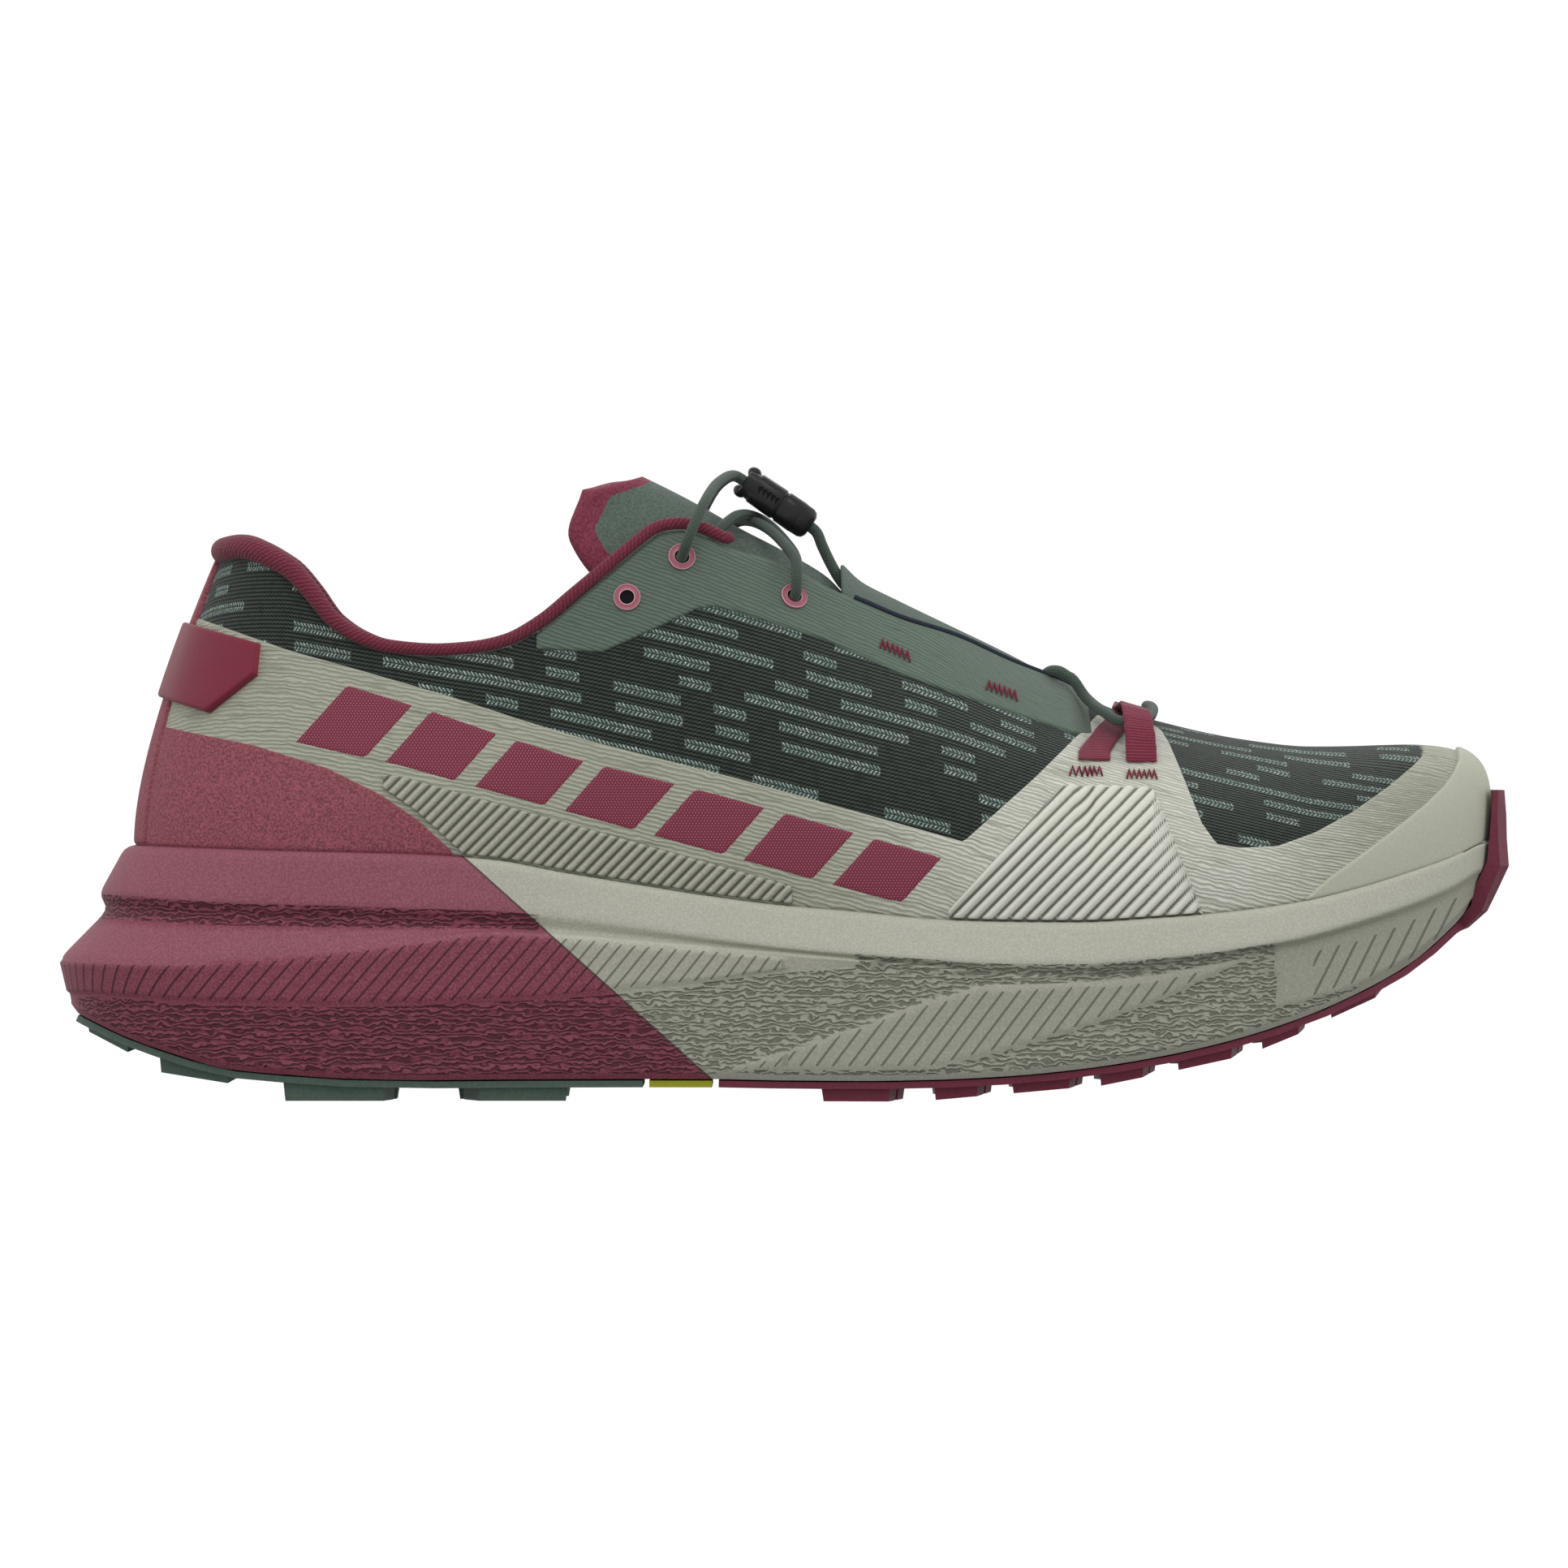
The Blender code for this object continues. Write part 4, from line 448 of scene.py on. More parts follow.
# Looks: shine of all materials; the mesh's dashes and threads in millimetres
SPECULAR = 0.35
DASH_ROW = 4.1
DASH_LENGTH = 6.3
DASH_SHIFT = 6.7
THREAD_PITCH = 0.38

# How far the knit's rows have come down towards the toe, as shares of LENGTH
KNIT = table(
    "station fall", (0.08, 0.0), (0.16, 0.008), (0.30, 0.034), (0.50, 0.080), (0.62, 0.110), (0.70, 0.133),
    (0.78, 0.156), (0.86, 0.175), (0.95, 0.189), (1.0, 0.196),
)
# Where the dashes start along the shoe in millimetres, how far inward the vamp turns flat, and the station
# whose cross section the vamp's rows follow
KNIT_START = 3.0
KNIT_TOP = 0.020
KNIT_PROFILE_AT = 0.80
# How much the rows climb inward at the rear, on the vamp's side and on its top
KNIT_CLIMB = (0.25, 0.62, 0.60)
# Stations where the vamp's rows and the lengths along the shoe take over, and the way each takes
KNIT_VAMP = (0.58, 0.14)
KNIT_AHEAD = (0.30, 0.10)
# Steepest that the cross section's rows may climb inward, and the way over which the top takes its own
KNIT_STEEPEST = 1.6
KNIT_FADE = 0.008

# Layers on the upper: how their border rolls down (levels from the edge, shares of the thickness), and how
# far they stop from the feather edge and the top
ROLLED = ((0.0, 0.10, 0.28), (0.0, 0.62, 0.93))
ROLLED_END = 0.55
SHELL_FOOT = 0.93
SHELL_HEAD = 0.4
# Where the beige band closes over the top of the toe
TOE_BAND_START = 0.2052
# Padding up the wall, from a share of the height and over another; the upper's edge: lining and rounding
PAD_START = 0.35
PAD_RISE = 0.30
LINING_DROP = 0.0004
EDGE_ROUND = 0.0009

# Bars of the side band: how many, stations, lean, lift inside and at the border, and their lower edge,
# clear of the counter and of the rear ribs
BARS = 7
BARS_START = 0.165
BARS_END = 0.594
BAR_WIDTH = 0.048
BAR_LEAN = 0.9
BAR_LIFT = (0.00056, 0.00036)
BAR_BOTTOM = table(
    "station height", (0.160, 0.337), (0.190, 0.304), (0.236, 0.2570), (0.297, 0.1760), (0.367, 0.0870),
    (0.438, -0.0060), (0.571, -0.1780), (0.700, -0.2600),
)

# Roll round the collar: where it ends, radius by share of the way round, height of its top over the edge
PIPING_END = 0.458
PIPING_RADIUS = ((0.0, 0.07, 0.14, 0.22, 1.0), (0.0025, 0.0024, 0.0016, 0.0012, 0.00115))
PIPING_RISE = 0.0027

# Where the tongue's crimson strip starts up its edge, and its widths at the rear and at the top
TONGUE_STRIP_START = 0.5
TONGUE_STRIP = (0.0036, 0.0017)

# Eyelet's profile from its rim to its hole, radius and lift, and the faces whose pale colour is a painted
# highlight on its lips
EYELET_STEPS = 40
EYELET_PROFILE = (
    (EYELET_RADIUS, 0.0), (EYELET_RADIUS, 0.00045), (EYELET_RADIUS * 0.96, 0.0006),
    (EYELET_RADIUS * 0.90, 0.0005), (EYELET_HOLE * 1.30, 0.0005), (EYELET_HOLE * 1.12, 0.0007),
    (EYELET_HOLE, 0.0005), (EYELET_HOLE, -0.0008),
)
EYELET_LIPS = (1, 5)

# Spacing of a cord's points, and where the front cord comes up out of the throat: station, share of
# SOLE_WIDTH outward, share of COLLAR_HEIGHT
CORD_STEP = 0.0007
FRONT_START = ((0.6660, 0.010, 0.705), (0.6740, 0.040, 0.733), (0.6810, 0.075, 0.760), (0.6880, 0.108, 0.764))

# Heights over the skin at which the cords pass the front and the top eyelets, and how far behind the skin
# and beside the hole they come up to the top one
FRONT_EYELET_WAY = (-0.004, -0.0005, 0.0016)
TOP_EYELET_WAY = (-0.0012, 0.0018)
BEHIND_EYELET = (0.0055, (0.002, 0, 0.002))

# Lift of the straps over the skin where nothing lies under them, and half their width at foot and apex
STRAP_LIFT = 0.0011
STRAP_HALF = (0.0028, 0.0024)

# Bar tacks in side view: start and end as station and height, and how tall
TACKS = (
    ((0.6943, 0.573), (0.7171, 0.572), 0.017),
    ((0.7339, 0.567), (0.7543, 0.566), 0.017),
    ((0.5650, 0.800), (0.5854, 0.775), 0.019),
    ((0.6379, 0.725), (0.6589, 0.705), 0.019),
)
TACK_PEAKS = 6
THREAD_RADIUS = 0.00019

# Cord lock: sections as shares of length, half height and half width, and the corners of the dark triangle
# painted as a notch's shade
LOCK_STEPS = 32
LOCK_BODY = (
    (0.00, 0.70, 0.78), (0.02, 0.80, 0.86), (0.10, 0.86, 0.92), (0.17, 0.88, 0.94), (0.20, 0.97, 1.00),
    (0.60, 1.00, 1.00), (0.64, 1.00, 1.00), (0.66, 0.92, 0.96), (0.69, 0.92, 0.96), (0.71, 1.00, 1.00),
    (0.99, 1.01, 1.01), (1.00, 1.00, 1.00),
)
LOCK_CAP = ((0.0, 1.0, 1.0), (0.04, 0.99, 1.0), (0.60, 0.97, 0.98), (0.85, 0.86, 0.90), (1.0, 0.62, 0.70))
NOTCH = ((-0.0006, 0.0007), (0.0004, 0.0011), (0.0002, -0.0006))

# Midsole: columns a side, rows of points from each line to the next, the greatest move of its softening,
# fade of the slots at a band's edge, pitch of the slots in millimetres, and step between bands and rest
SOLE_STEPS = 450
WALL_ROWS = {"bed": 2, "rim_inner": 1, "rim_outer": 10, "lip": 4, "groove": 9, "flare": 14, "band": 20, "edge": 2}
SOFTEN_LIMIT = 0.0012
SLOT_END = 0.0006
SLOT_PITCH = 3.1
BAND_RELIEF = 0.0005
# Stations between which the bands have their slots, lie plain, and the side is cracked
SLOTTED = {"heel": (-1, 0.50), "middle": (0.45, 0.83), "toe": (0.862, 0.968)}
PLAIN = {"flare": (-1, 0.45), "middle": (0.44, 0.84), "toe": (0.835, 2)}
CRACKED = {
    "heel": (-1, 0.56), "groove": (-1, 0.33), "below the middle band": (0.55, 2),
    "above the middle band": (0.44, 0.62), "under the lip": (0.55, 0.845),
}
CRACK_FADE = 0.0005
CRACK_START = 0.002
# Angles of the slots, the station where the toe's begin, and the way over which the heel's lean down
SLOT_ANGLES = {"middle": 53, "toe": 63}
SLOT_TOE = 0.855
SLOT_UPRIGHT = 0.045
# How much lighter the rim and flare are, as painted highlight, and how much darker the plain faces of the bands
# are, as painted shade
LIT = 0.10
SHADED = 0.12
# Slanted seam between the foams: heights of its ends, then its place and slope
SEAM_TOP_Z = 0.0472
SEAM_FOOT_Z = 0.0042
SEAM_TOP_X = FOAM_SPLIT["top"] * LENGTH - HEEL_REST_X
SEAM_FOOT_X = FOAM_SPLIT["bottom"] * LENGTH - HEEL_REST_X
SEAM_SLOPE = (SEAM_FOOT_X - SEAM_TOP_X) / (SEAM_TOP_Z - SEAM_FOOT_Z)
SEAM_AT = SEAM_TOP_X + SEAM_SLOPE * SEAM_TOP_Z

# Nodes that keep the solid model's shape
RUBBER_LOOKS = {
    "outsole_heel": "green_rubber",
    "outsole_forefoot": "burgundy_rubber",
    "outsole_insert": "yellow_rubber",
    "insole": "lining",
}


def srgb(red, green, blue):
    """Linear colour of an 8-bit one."""
    values = np.array([red, green, blue]) / 255
    return tuple(np.where(values <= 0.04045, values / 12.92, ((values + 0.055) / 1.055) ** 2.4))


# Camera and light
def aim(made, target):
    made.rotation_euler = (Vector(target) - made.location).to_track_quat("-Z", "Y").to_euler()


def build_camera():
    """Level view of the outer side through a very long lens."""
    camera = bpy.data.cameras.new("camera")
    camera.lens = LENS
    camera.sensor_width = SENSOR
    camera.clip_end = VIEW_END
    made = bpy.data.objects.new("camera", camera)
    bpy.context.scene.collection.objects.link(made)
    made.location = Vector(VIEW_CENTRE) - Vector((0, VIEW_WIDTH * LENS / SENSOR, 0))
    aim(made, VIEW_CENTRE)
    bpy.context.scene.camera = made


def build_light():
    """White studio, darker below the horizon, and four soft lamps."""
    world = bpy.data.worlds.new("studio")
    bpy.context.scene.world = world
    world.use_nodes = True
    tree = world.node_tree
    back = tree.nodes["Background"]
    place = tree.nodes.new("ShaderNodeTexCoord")
    split = tree.nodes.new("ShaderNodeSeparateXYZ")
    ramp = tree.nodes.new("ShaderNodeValToRGB")
    spread = tree.nodes.new("ShaderNodeMapRange")
    spread.inputs["From Min"].default_value = -1.0
    tree.links.new(place.outputs["Generated"], split.inputs[0])
    tree.links.new(split.outputs["Z"], spread.inputs["Value"])
    tree.links.new(spread.outputs["Result"], ramp.inputs["Fac"])
    while len(ramp.color_ramp.elements) < len(STUDIO):
        ramp.color_ramp.elements.new(0.5)
    for element, (at, value) in zip(ramp.color_ramp.elements, STUDIO):
        element.position = at
        element.color = (value, value, value, 1)
    tree.links.new(ramp.outputs["Color"], back.inputs["Color"])
    back.inputs["Strength"].default_value = STUDIO_STRENGTH
    for name, (place, size, power) in LAMPS.items():
        lamp = bpy.data.lights.new(name, "AREA")
        lamp.size = size
        lamp.energy = power
        made = bpy.data.objects.new(name, lamp)
        made.location = place
        bpy.context.scene.collection.objects.link(made)
        aim(made, LAMP_TARGET)
    bpy.context.scene.view_settings.view_transform = "Standard"


class Value:
    """Number in a material's pattern, which can be reckoned with."""

    def __init__(self, look, socket):
        self.look = look
        self.socket = socket

    def of(self, operation, *values):
        return self.look.math(operation, self, *values)

    def __add__(self, other):
        return self.of("ADD", other)

    def __sub__(self, other):
        return self.of("SUBTRACT", other)

    def __rsub__(self, other):
        return self.look.math("SUBTRACT", other, self)

    def __mul__(self, other):
        return self.of("MULTIPLY", other)

    def __truediv__(self, other):
        return self.of("DIVIDE", other)

    def __abs__(self):
        return self.of("ABSOLUTE")

    def floor(self):
        return self.of("FLOOR")

    def fract(self):
        return self.of("FRACT")

    def wave(self, period):
        """Smooth wave of a distance, 0 to 1."""
        return (self * (2 * math.pi / period)).of("SINE") * 0.5 + 0.5

    def step(self, low, high):
        """Smooth rise from 0 to 1 between two values."""
        made = self.look.node("MapRange", Value=self, From_Min=low, From_Max=high)
        made.interpolation_type = "SMOOTHSTEP"
        return Value(self.look, made.outputs["Result"])


class Look:
    """Material whose pattern comes from distances along the surface or places in space."""

    def __init__(self, name, rough, sheen=0.0):
        self.made = bpy.data.materials.new(name)
        self.made.use_nodes = True
        self.tree = self.made.node_tree
        self.shader = self.tree.nodes["Principled BSDF"]
        self.put(self.shader.inputs["Roughness"], rough)
        self.put(self.shader.inputs["Specular IOR Level"], SPECULAR)
        self.put(self.shader.inputs["Sheen Weight"], sheen)

    def put(self, socket, value):
        """Feeds a socket with a value of the pattern, a colour or a plain number."""
        if isinstance(value, Value):
            self.tree.links.new(value.socket, socket)
        elif isinstance(value, tuple):
            socket.default_value = (*value, 1)
        else:
            socket.default_value = value

    def node(self, kind, **inputs):
        made = self.tree.nodes.new("ShaderNode" + kind)
        for key, value in inputs.items():
            self.put(made.inputs[key.replace("_", " ")], value)
        return made

    def math(self, operation, *values):
        made = self.node("Math")
        made.operation = operation
        for socket, value in zip(made.inputs, values):
            self.put(socket, value)
        return Value(self, made.outputs[0])

    def split(self, vector):
        parts = self.node("SeparateXYZ", Vector=vector).outputs
        return [Value(self, parts[axis]) for axis in "XYZ"]

    def flow(self, layer="flow"):
        """Distances along and up the surface, in millimetres."""
        made = self.node("UVMap")
        made.uv_map = layer
        return self.split(Value(self, made.outputs[0]))[:2]

    def place(self):
        return Value(self, self.node("TexCoord").outputs["Object"])

    def vector(self, x, y, z=0.0):
        return Value(self, self.node("CombineXYZ", X=x, Y=y, Z=z).outputs[0])

    def noise(self, vector, scale, detail=2.0):
        return Value(self, self.node("TexNoise", Vector=vector, Scale=scale, Detail=detail).outputs["Fac"])

    def random(self, vector):
        return Value(self, self.node("TexWhiteNoise", Vector=vector).outputs["Value"])

    def attribute(self, name):
        made = self.node("Attribute")
        made.attribute_name = name
        return Value(self, made.outputs["Fac"])

    def mix(self, factor, first, second):
        made = self.node("Mix")
        made.data_type = "RGBA"
        colors = [socket for socket in made.inputs if socket.type == "RGBA"]
        self.put(made.inputs["Factor"], factor)
        self.put(colors[0], first)
        self.put(colors[1], second)
        return Value(self, next(socket for socket in made.outputs if socket.type == "RGBA"))

    def finish(self, color, height, depth):
        """The material in a colour, its bumps as deep as given in metres."""
        self.put(self.shader.inputs["Base Color"], color)
        bump = self.node("Bump", Height=height, Distance=depth)
        self.put(self.shader.inputs["Normal"], Value(self, bump.outputs[0]))
        return self.made


def grain_look(name, color, rough, amount, scale=2.2, depth=0.00004):
    """Plain stuff with a fine speckle."""
    look = Look(name, rough)
    speckle = look.noise(look.place(), scale * 1000, 3.0)
    low = tuple(c * (1 - amount) for c in color)
    high = tuple(min(1, c * (1 + amount)) for c in color)
    return look.finish(look.mix(speckle.step(0.3, 0.7), low, high), speckle, depth)


def line_look(name, color, dark, period, lean, fleck, layer="knit"):
    """Knit with fine wavy lines along the surface and a few darker flecks."""
    look = Look(name, 0.8, 0.1)
    along, up = look.flow(layer)
    line = along * lean + up + look.noise(look.vector(along * 0.25, up * 0.5), 1.0) * 1.1
    ridges = line.wave(period)
    streak = look.noise(look.vector(along * 0.16, line * 1.3), 1.0, 3.0)
    fine = look.noise(look.vector(along, up), 3.0)
    shade = look.mix(ridges * 0.55, color, dark)
    shade = look.mix(streak.step(0.56, 0.75) * fleck, shade, dark)
    shade = look.mix(fine.step(0.45, 0.8) * 0.25, shade, dark)
    return look.finish(shade, 1.0 - ridges + fine * 0.5, 0.00012)


def mesh_look():
    """Dark knit with tilted rows of lighter, chevron-stitched dashes."""
    look = Look("dark_mesh", 0.85, 0.15)
    along, up = look.flow("knit")
    row = (up / DASH_ROW).floor()
    bend = abs(up / DASH_ROW - row - 0.5)
    cell = ((row * DASH_SHIFT + along) / DASH_LENGTH).floor()
    thread = (along / THREAD_PITCH).floor()
    ragged = look.random(look.vector(thread, row)) * 0.05
    inside = 1.0 - (bend + ragged).step(0.235, 0.275)
    dash = inside * look.random(look.vector(cell, row, 0.37)).of("GREATER_THAN", 0.42)
    stitch = (bend * 3.4 + along / (2 * THREAD_PITCH)).fract()
    bright = stitch.step(0.05, 0.25) * (1.0 - stitch.step(0.60, 0.85)) * bend.step(0.005, 0.05)
    lines = (along.of("PINGPONG", 0.42) * 0.55 + up).wave(0.82)
    strands = look.noise(look.vector(along * 0.5, up * 0.45), 1.0, 3.0)
    ground = look.mix(lines.step(0.20, 0.90), srgb(13, 18, 15), srgb(62, 75, 66))
    ground = look.mix(strands.step(0.45, 0.72) * 0.6, ground, srgb(22, 28, 25))
    sparkle = look.random(look.vector(thread, (up / 0.41).floor()))
    white = look.mix(sparkle * sparkle, srgb(122, 148, 136), srgb(204, 220, 212))
    light = look.mix(bright, srgb(44, 58, 51), white)
    return look.finish(look.mix(dash, ground, light), dash * bright * 1.2 + lines, 0.00024)


def painted_front_light(look, color, strength):
    """Colour made lighter towards the ball of the foot: painted light standing in for the light that falls there.
    """
    x = look.split(look.place())[0]
    rise = x.step(0.085, 0.125) * (1.0 - x.step(0.165, 0.205))
    # painted light: the colour is lifted towards a pale highlight between these stations
    return look.mix(rise * strength, color, (1.0, 1.0, 0.92))


def rib_look():
    """Printed ribs with painted shade in the grooves between them and painted light towards the ball of the foot.
    """
    look = Look("beige_rib", 0.55)
    speckle = look.noise(look.place(), 2400.0)
    color = look.mix(speckle.step(0.35, 0.7), srgb(172, 173, 157), srgb(188, 189, 174))
    # painted light towards the ball of the foot
    color = painted_front_light(look, color, 0.54)
    # painted shade in the grooves, where the ribs are low
    deep = 1.0 - look.attribute("raised").step(0.0, 0.55)
    return look.finish(look.mix(deep * 0.85, color, srgb(92, 94, 82)), speckle, 0.00003)


def knit_band_look():
    """Beige knit in fine ridges along the band, with soft darker streaks and painted light towards the ball of
    the foot.
    """
    look = Look("beige_knit", 0.8, 0.1)
    along, up = look.flow("knit")
    line = look.noise(look.vector(along * 0.30, up * 0.5), 1.0) * 1.3 + up
    ridges = line.wave(0.86)
    streak = look.noise(look.vector(along * 0.10, line * 0.9), 1.0, 3.0)
    fine = look.noise(look.vector(along, up), 3.0)
    dark = srgb(118, 120, 104)
    # painted light towards the ball of the foot
    shade = painted_front_light(look, srgb(184, 186, 169), 0.50)
    shade = look.mix(ridges * 0.50, shade, srgb(122, 124, 108))
    shade = look.mix(streak.step(0.50, 0.72) * 0.45, shade, dark)
    shade = look.mix(fine.step(0.45, 0.8) * 0.2, shade, dark)
    return look.finish(shade, fine * 0.5 + (1.0 - ridges), 0.00014)


def tongue_look():
    """Green cloth with the crimson strip that the attribute gives."""
    look = Look("tongue_cloth", 0.85, 0.1)
    speckle = look.noise(look.place(), 2000.0, 3.0)
    green = look.mix(speckle.step(0.3, 0.7), srgb(78, 92, 83), srgb(98, 114, 104))
    crimson = look.mix(speckle.step(0.3, 0.7), srgb(112, 36, 56), srgb(142, 62, 82))
    strip = look.attribute("strip").step(0.0, 0.03)
    return look.finish(look.mix(strip, green, crimson), speckle, 0.00006)


def bar_look():
    """Crimson weave with staggered lighter dots."""
    look = Look("bar_weave", 0.7)
    along, up = look.flow()
    dots = ((along + up * 0.62).wave(0.64) * (along - up * 0.62).wave(0.64)).step(0.45, 0.85)
    return look.finish(look.mix(dots * 0.75, srgb(126, 44, 66), srgb(205, 140, 152)), dots, 0.00006)


def foam_look():
    """Both foams: speckle, slots of the grooved bands, wrinkled zones, and the slanted seam; painted shade in the
    slots, cracks and seam, painted highlights on the wrinkles' crests, the rim and the flare, and painted shade
    on the bands' plain faces.
    """
    look = Look("foam", 0.62)
    place = look.place()
    x, _, z = look.split(place)
    along, up = look.flow()
    speckle = look.noise(place, 2600.0)
    seam = z * SEAM_SLOPE + x - SEAM_AT
    front = seam.step(-0.00005, 0.00005)
    # painted shade along the seam's groove
    line = 1.0 - abs(seam).step(0.00008, 0.0003)
    # slots' mask: their grooves in the bump and the painted shade in them
    slots = abs(look.attribute("slant").fract() - 0.5)
    slots = slots + (1.0 - look.attribute("bands").step(0.25, 0.75)) * 0.12
    slots = 1.0 - slots.step(0.055, 0.085)
    sway = look.noise(look.vector(along * 0.36, up * 0.62), 1.0, 1.0)
    ripple = look.noise(look.vector(along * 1.1, up * 0.9), 1.0, 1.0)
    bent = sway * 2.3 + ripple * 0.7 + up
    broken = look.noise(look.vector(along * 0.42, bent * 0.9), 1.0, 1.0)
    swell = bent.wave(0.92)
    cracked = look.attribute("cracked")
    # cracks: dark valleys of painted shade in the wrinkles; ridges: painted highlight on their crests
    cracks = swell.step(0.30, 0.80) * broken.step(0.30, 0.50) * cracked.step(0.3, 0.7)
    ridges = (1.0 - swell.step(0.02, 0.30)) * cracked * 0.40
    # painted light: highlight on the rim and flare where positive, shade on the bands' plain faces where negative
    painted_light = look.attribute("painted_light")

    def foams(rear_color, front_color):
        return look.mix(front, rear_color, front_color)

    grain = speckle.step(0.35, 0.7)
    burgundy = look.mix(grain, srgb(124, 56, 72), srgb(152, 82, 98))
    beige = look.mix(grain, srgb(168, 169, 153), srgb(186, 187, 172))
    color = foams(burgundy, beige)
    # colours of the painted shade in the cracks and slots
    dark = foams(srgb(66, 22, 34), srgb(104, 105, 92))
    # painted highlight on the rim and flare, then painted shade on the bands' plain faces
    color = look.mix(painted_light.of("MAXIMUM", 0.0), color, foams(srgb(206, 160, 172), srgb(250, 251, 240)))
    color = look.mix(painted_light.of("MINIMUM", 0.0) * -1.0, color, srgb(40, 40, 32))
    color = look.mix(cracked * 0.80, color, foams(srgb(116, 50, 66), srgb(156, 158, 142)))
    # painted shade in the cracks
    color = look.mix(cracks * 0.78, color, dark)
    # painted shade in the slots
    color = look.mix(slots * 0.80, color, dark)
    # painted shade in the seam's groove
    color = look.mix(line * 0.7, color, srgb(70, 50, 50))
    # painted highlight on the wrinkles' crests
    color = look.mix(ridges, color, foams(srgb(160, 92, 108), srgb(186, 188, 172)))
    relief = cracks * -1.0 + slots * -2.2 + speckle * 0.12 + line * -1.5
    return look.finish(color, relief, 0.00035)


def cord_look():
    """Braided cord."""
    look = Look("braid", 0.75, 0.2)
    along, up = look.flow()
    braid = (along + up).wave(0.62).of("MAXIMUM", (along - up).wave(0.62))
    color = look.mix(braid.step(0.5, 0.98), srgb(36, 48, 42), srgb(80, 98, 86))
    return look.finish(color, braid, 0.00008)


def weave_look(name, color, dark, pitch, rough=0.75, depth=0.00010, slant=0.0, stray=0.0):
    """Woven tape with ribs across it."""
    look = Look(name, rough, 0.15)
    along, up = look.flow()
    ribs = (look.noise(look.vector(along, up), 0.9) * stray + up * slant + along).wave(pitch)
    fine = look.noise(look.vector(along, up), 2.4, 3.0)
    shade = ribs * (up.wave(pitch * 0.8) * 0.4 + 0.6) * 0.7 + fine * 0.5
    return look.finish(look.mix(shade.step(0.15, 0.95), dark, color), shade, depth)


def mesh_object(name, points, faces, look, coordinates=None, smooth=True, values={}):
    """Mesh that rides on the shoe's body, with flow coordinates and named values at its points."""
    mesh = bpy.data.meshes.new(name)
    mesh.from_pydata(np.asarray(points).reshape(-1, 3).tolist(), [], faces)
    if coordinates:
        corners = np.zeros(len(mesh.loops), int)
        mesh.loops.foreach_get("vertex_index", corners)
        for layer, places in coordinates.items():
            uv = mesh.uv_layers.new(name=layer)
            uv.data.foreach_set("uv", np.asarray(places, float).reshape(-1, 2)[corners].ravel())
    mesh.polygons.foreach_set("use_smooth", [smooth] * len(mesh.polygons))
    mesh.materials.append(look)
    mesh.validate()
    made = bpy.data.objects.new(name, mesh)
    bpy.context.scene.collection.objects.link(made)
    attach(made, "root")
    for word, numbers in values.items():
        layer = mesh.attributes.new(word, "FLOAT", "POINT")
        layer.data.foreach_set("value", np.asarray(numbers, float).ravel())
    return made


def grid_faces(rows, columns, closed=False, start=0, flip=False):
    """Quads of a grid of points stored row by row."""
    faces = []
    for i in range(rows - 1):
        for j in range(columns if closed else columns - 1):
            k = (j + 1) % columns
            a, b = start + i * columns + j, start + i * columns + k
            c, d = start + (i + 1) * columns + k, start + (i + 1) * columns + j
            faces.append((a, d, c, b) if flip else (a, b, c, d))
    return faces


def outward_faces(points, faces, centre):
    """Flips the faces when most of them look towards a point inside."""
    points = np.asarray(points).reshape(-1, 3)
    some = np.array([f[:4] for f in faces[:: max(1, len(faces) // 400)] if len(f) == 4])
    a, b, c = points[some[:, 0]], points[some[:, 1]], points[some[:, 2]]
    normals = np.cross(b - a, c - a)
    if (normals * (a - centre)).sum() < 0:
        return [f[::-1] for f in faces]
    return faces


def distances(path):
    """Distance of each point of a path from its start."""
    return np.concatenate([[0], np.cumsum(np.linalg.norm(np.diff(path, axis=0), axis=1))])


def distances_round(line, half):
    """Distances from the heel along both sides of a closed line whose first half runs to the toe."""
    back = distances(np.concatenate([line[half - 1:], line[:1]])[::-1])
    return np.concatenate([distances(line[:half]), back[-2:0:-1]])


def unit(vectors):
    return vectors / np.maximum(np.linalg.norm(vectors, axis=-1, keepdims=True), 1e-12)


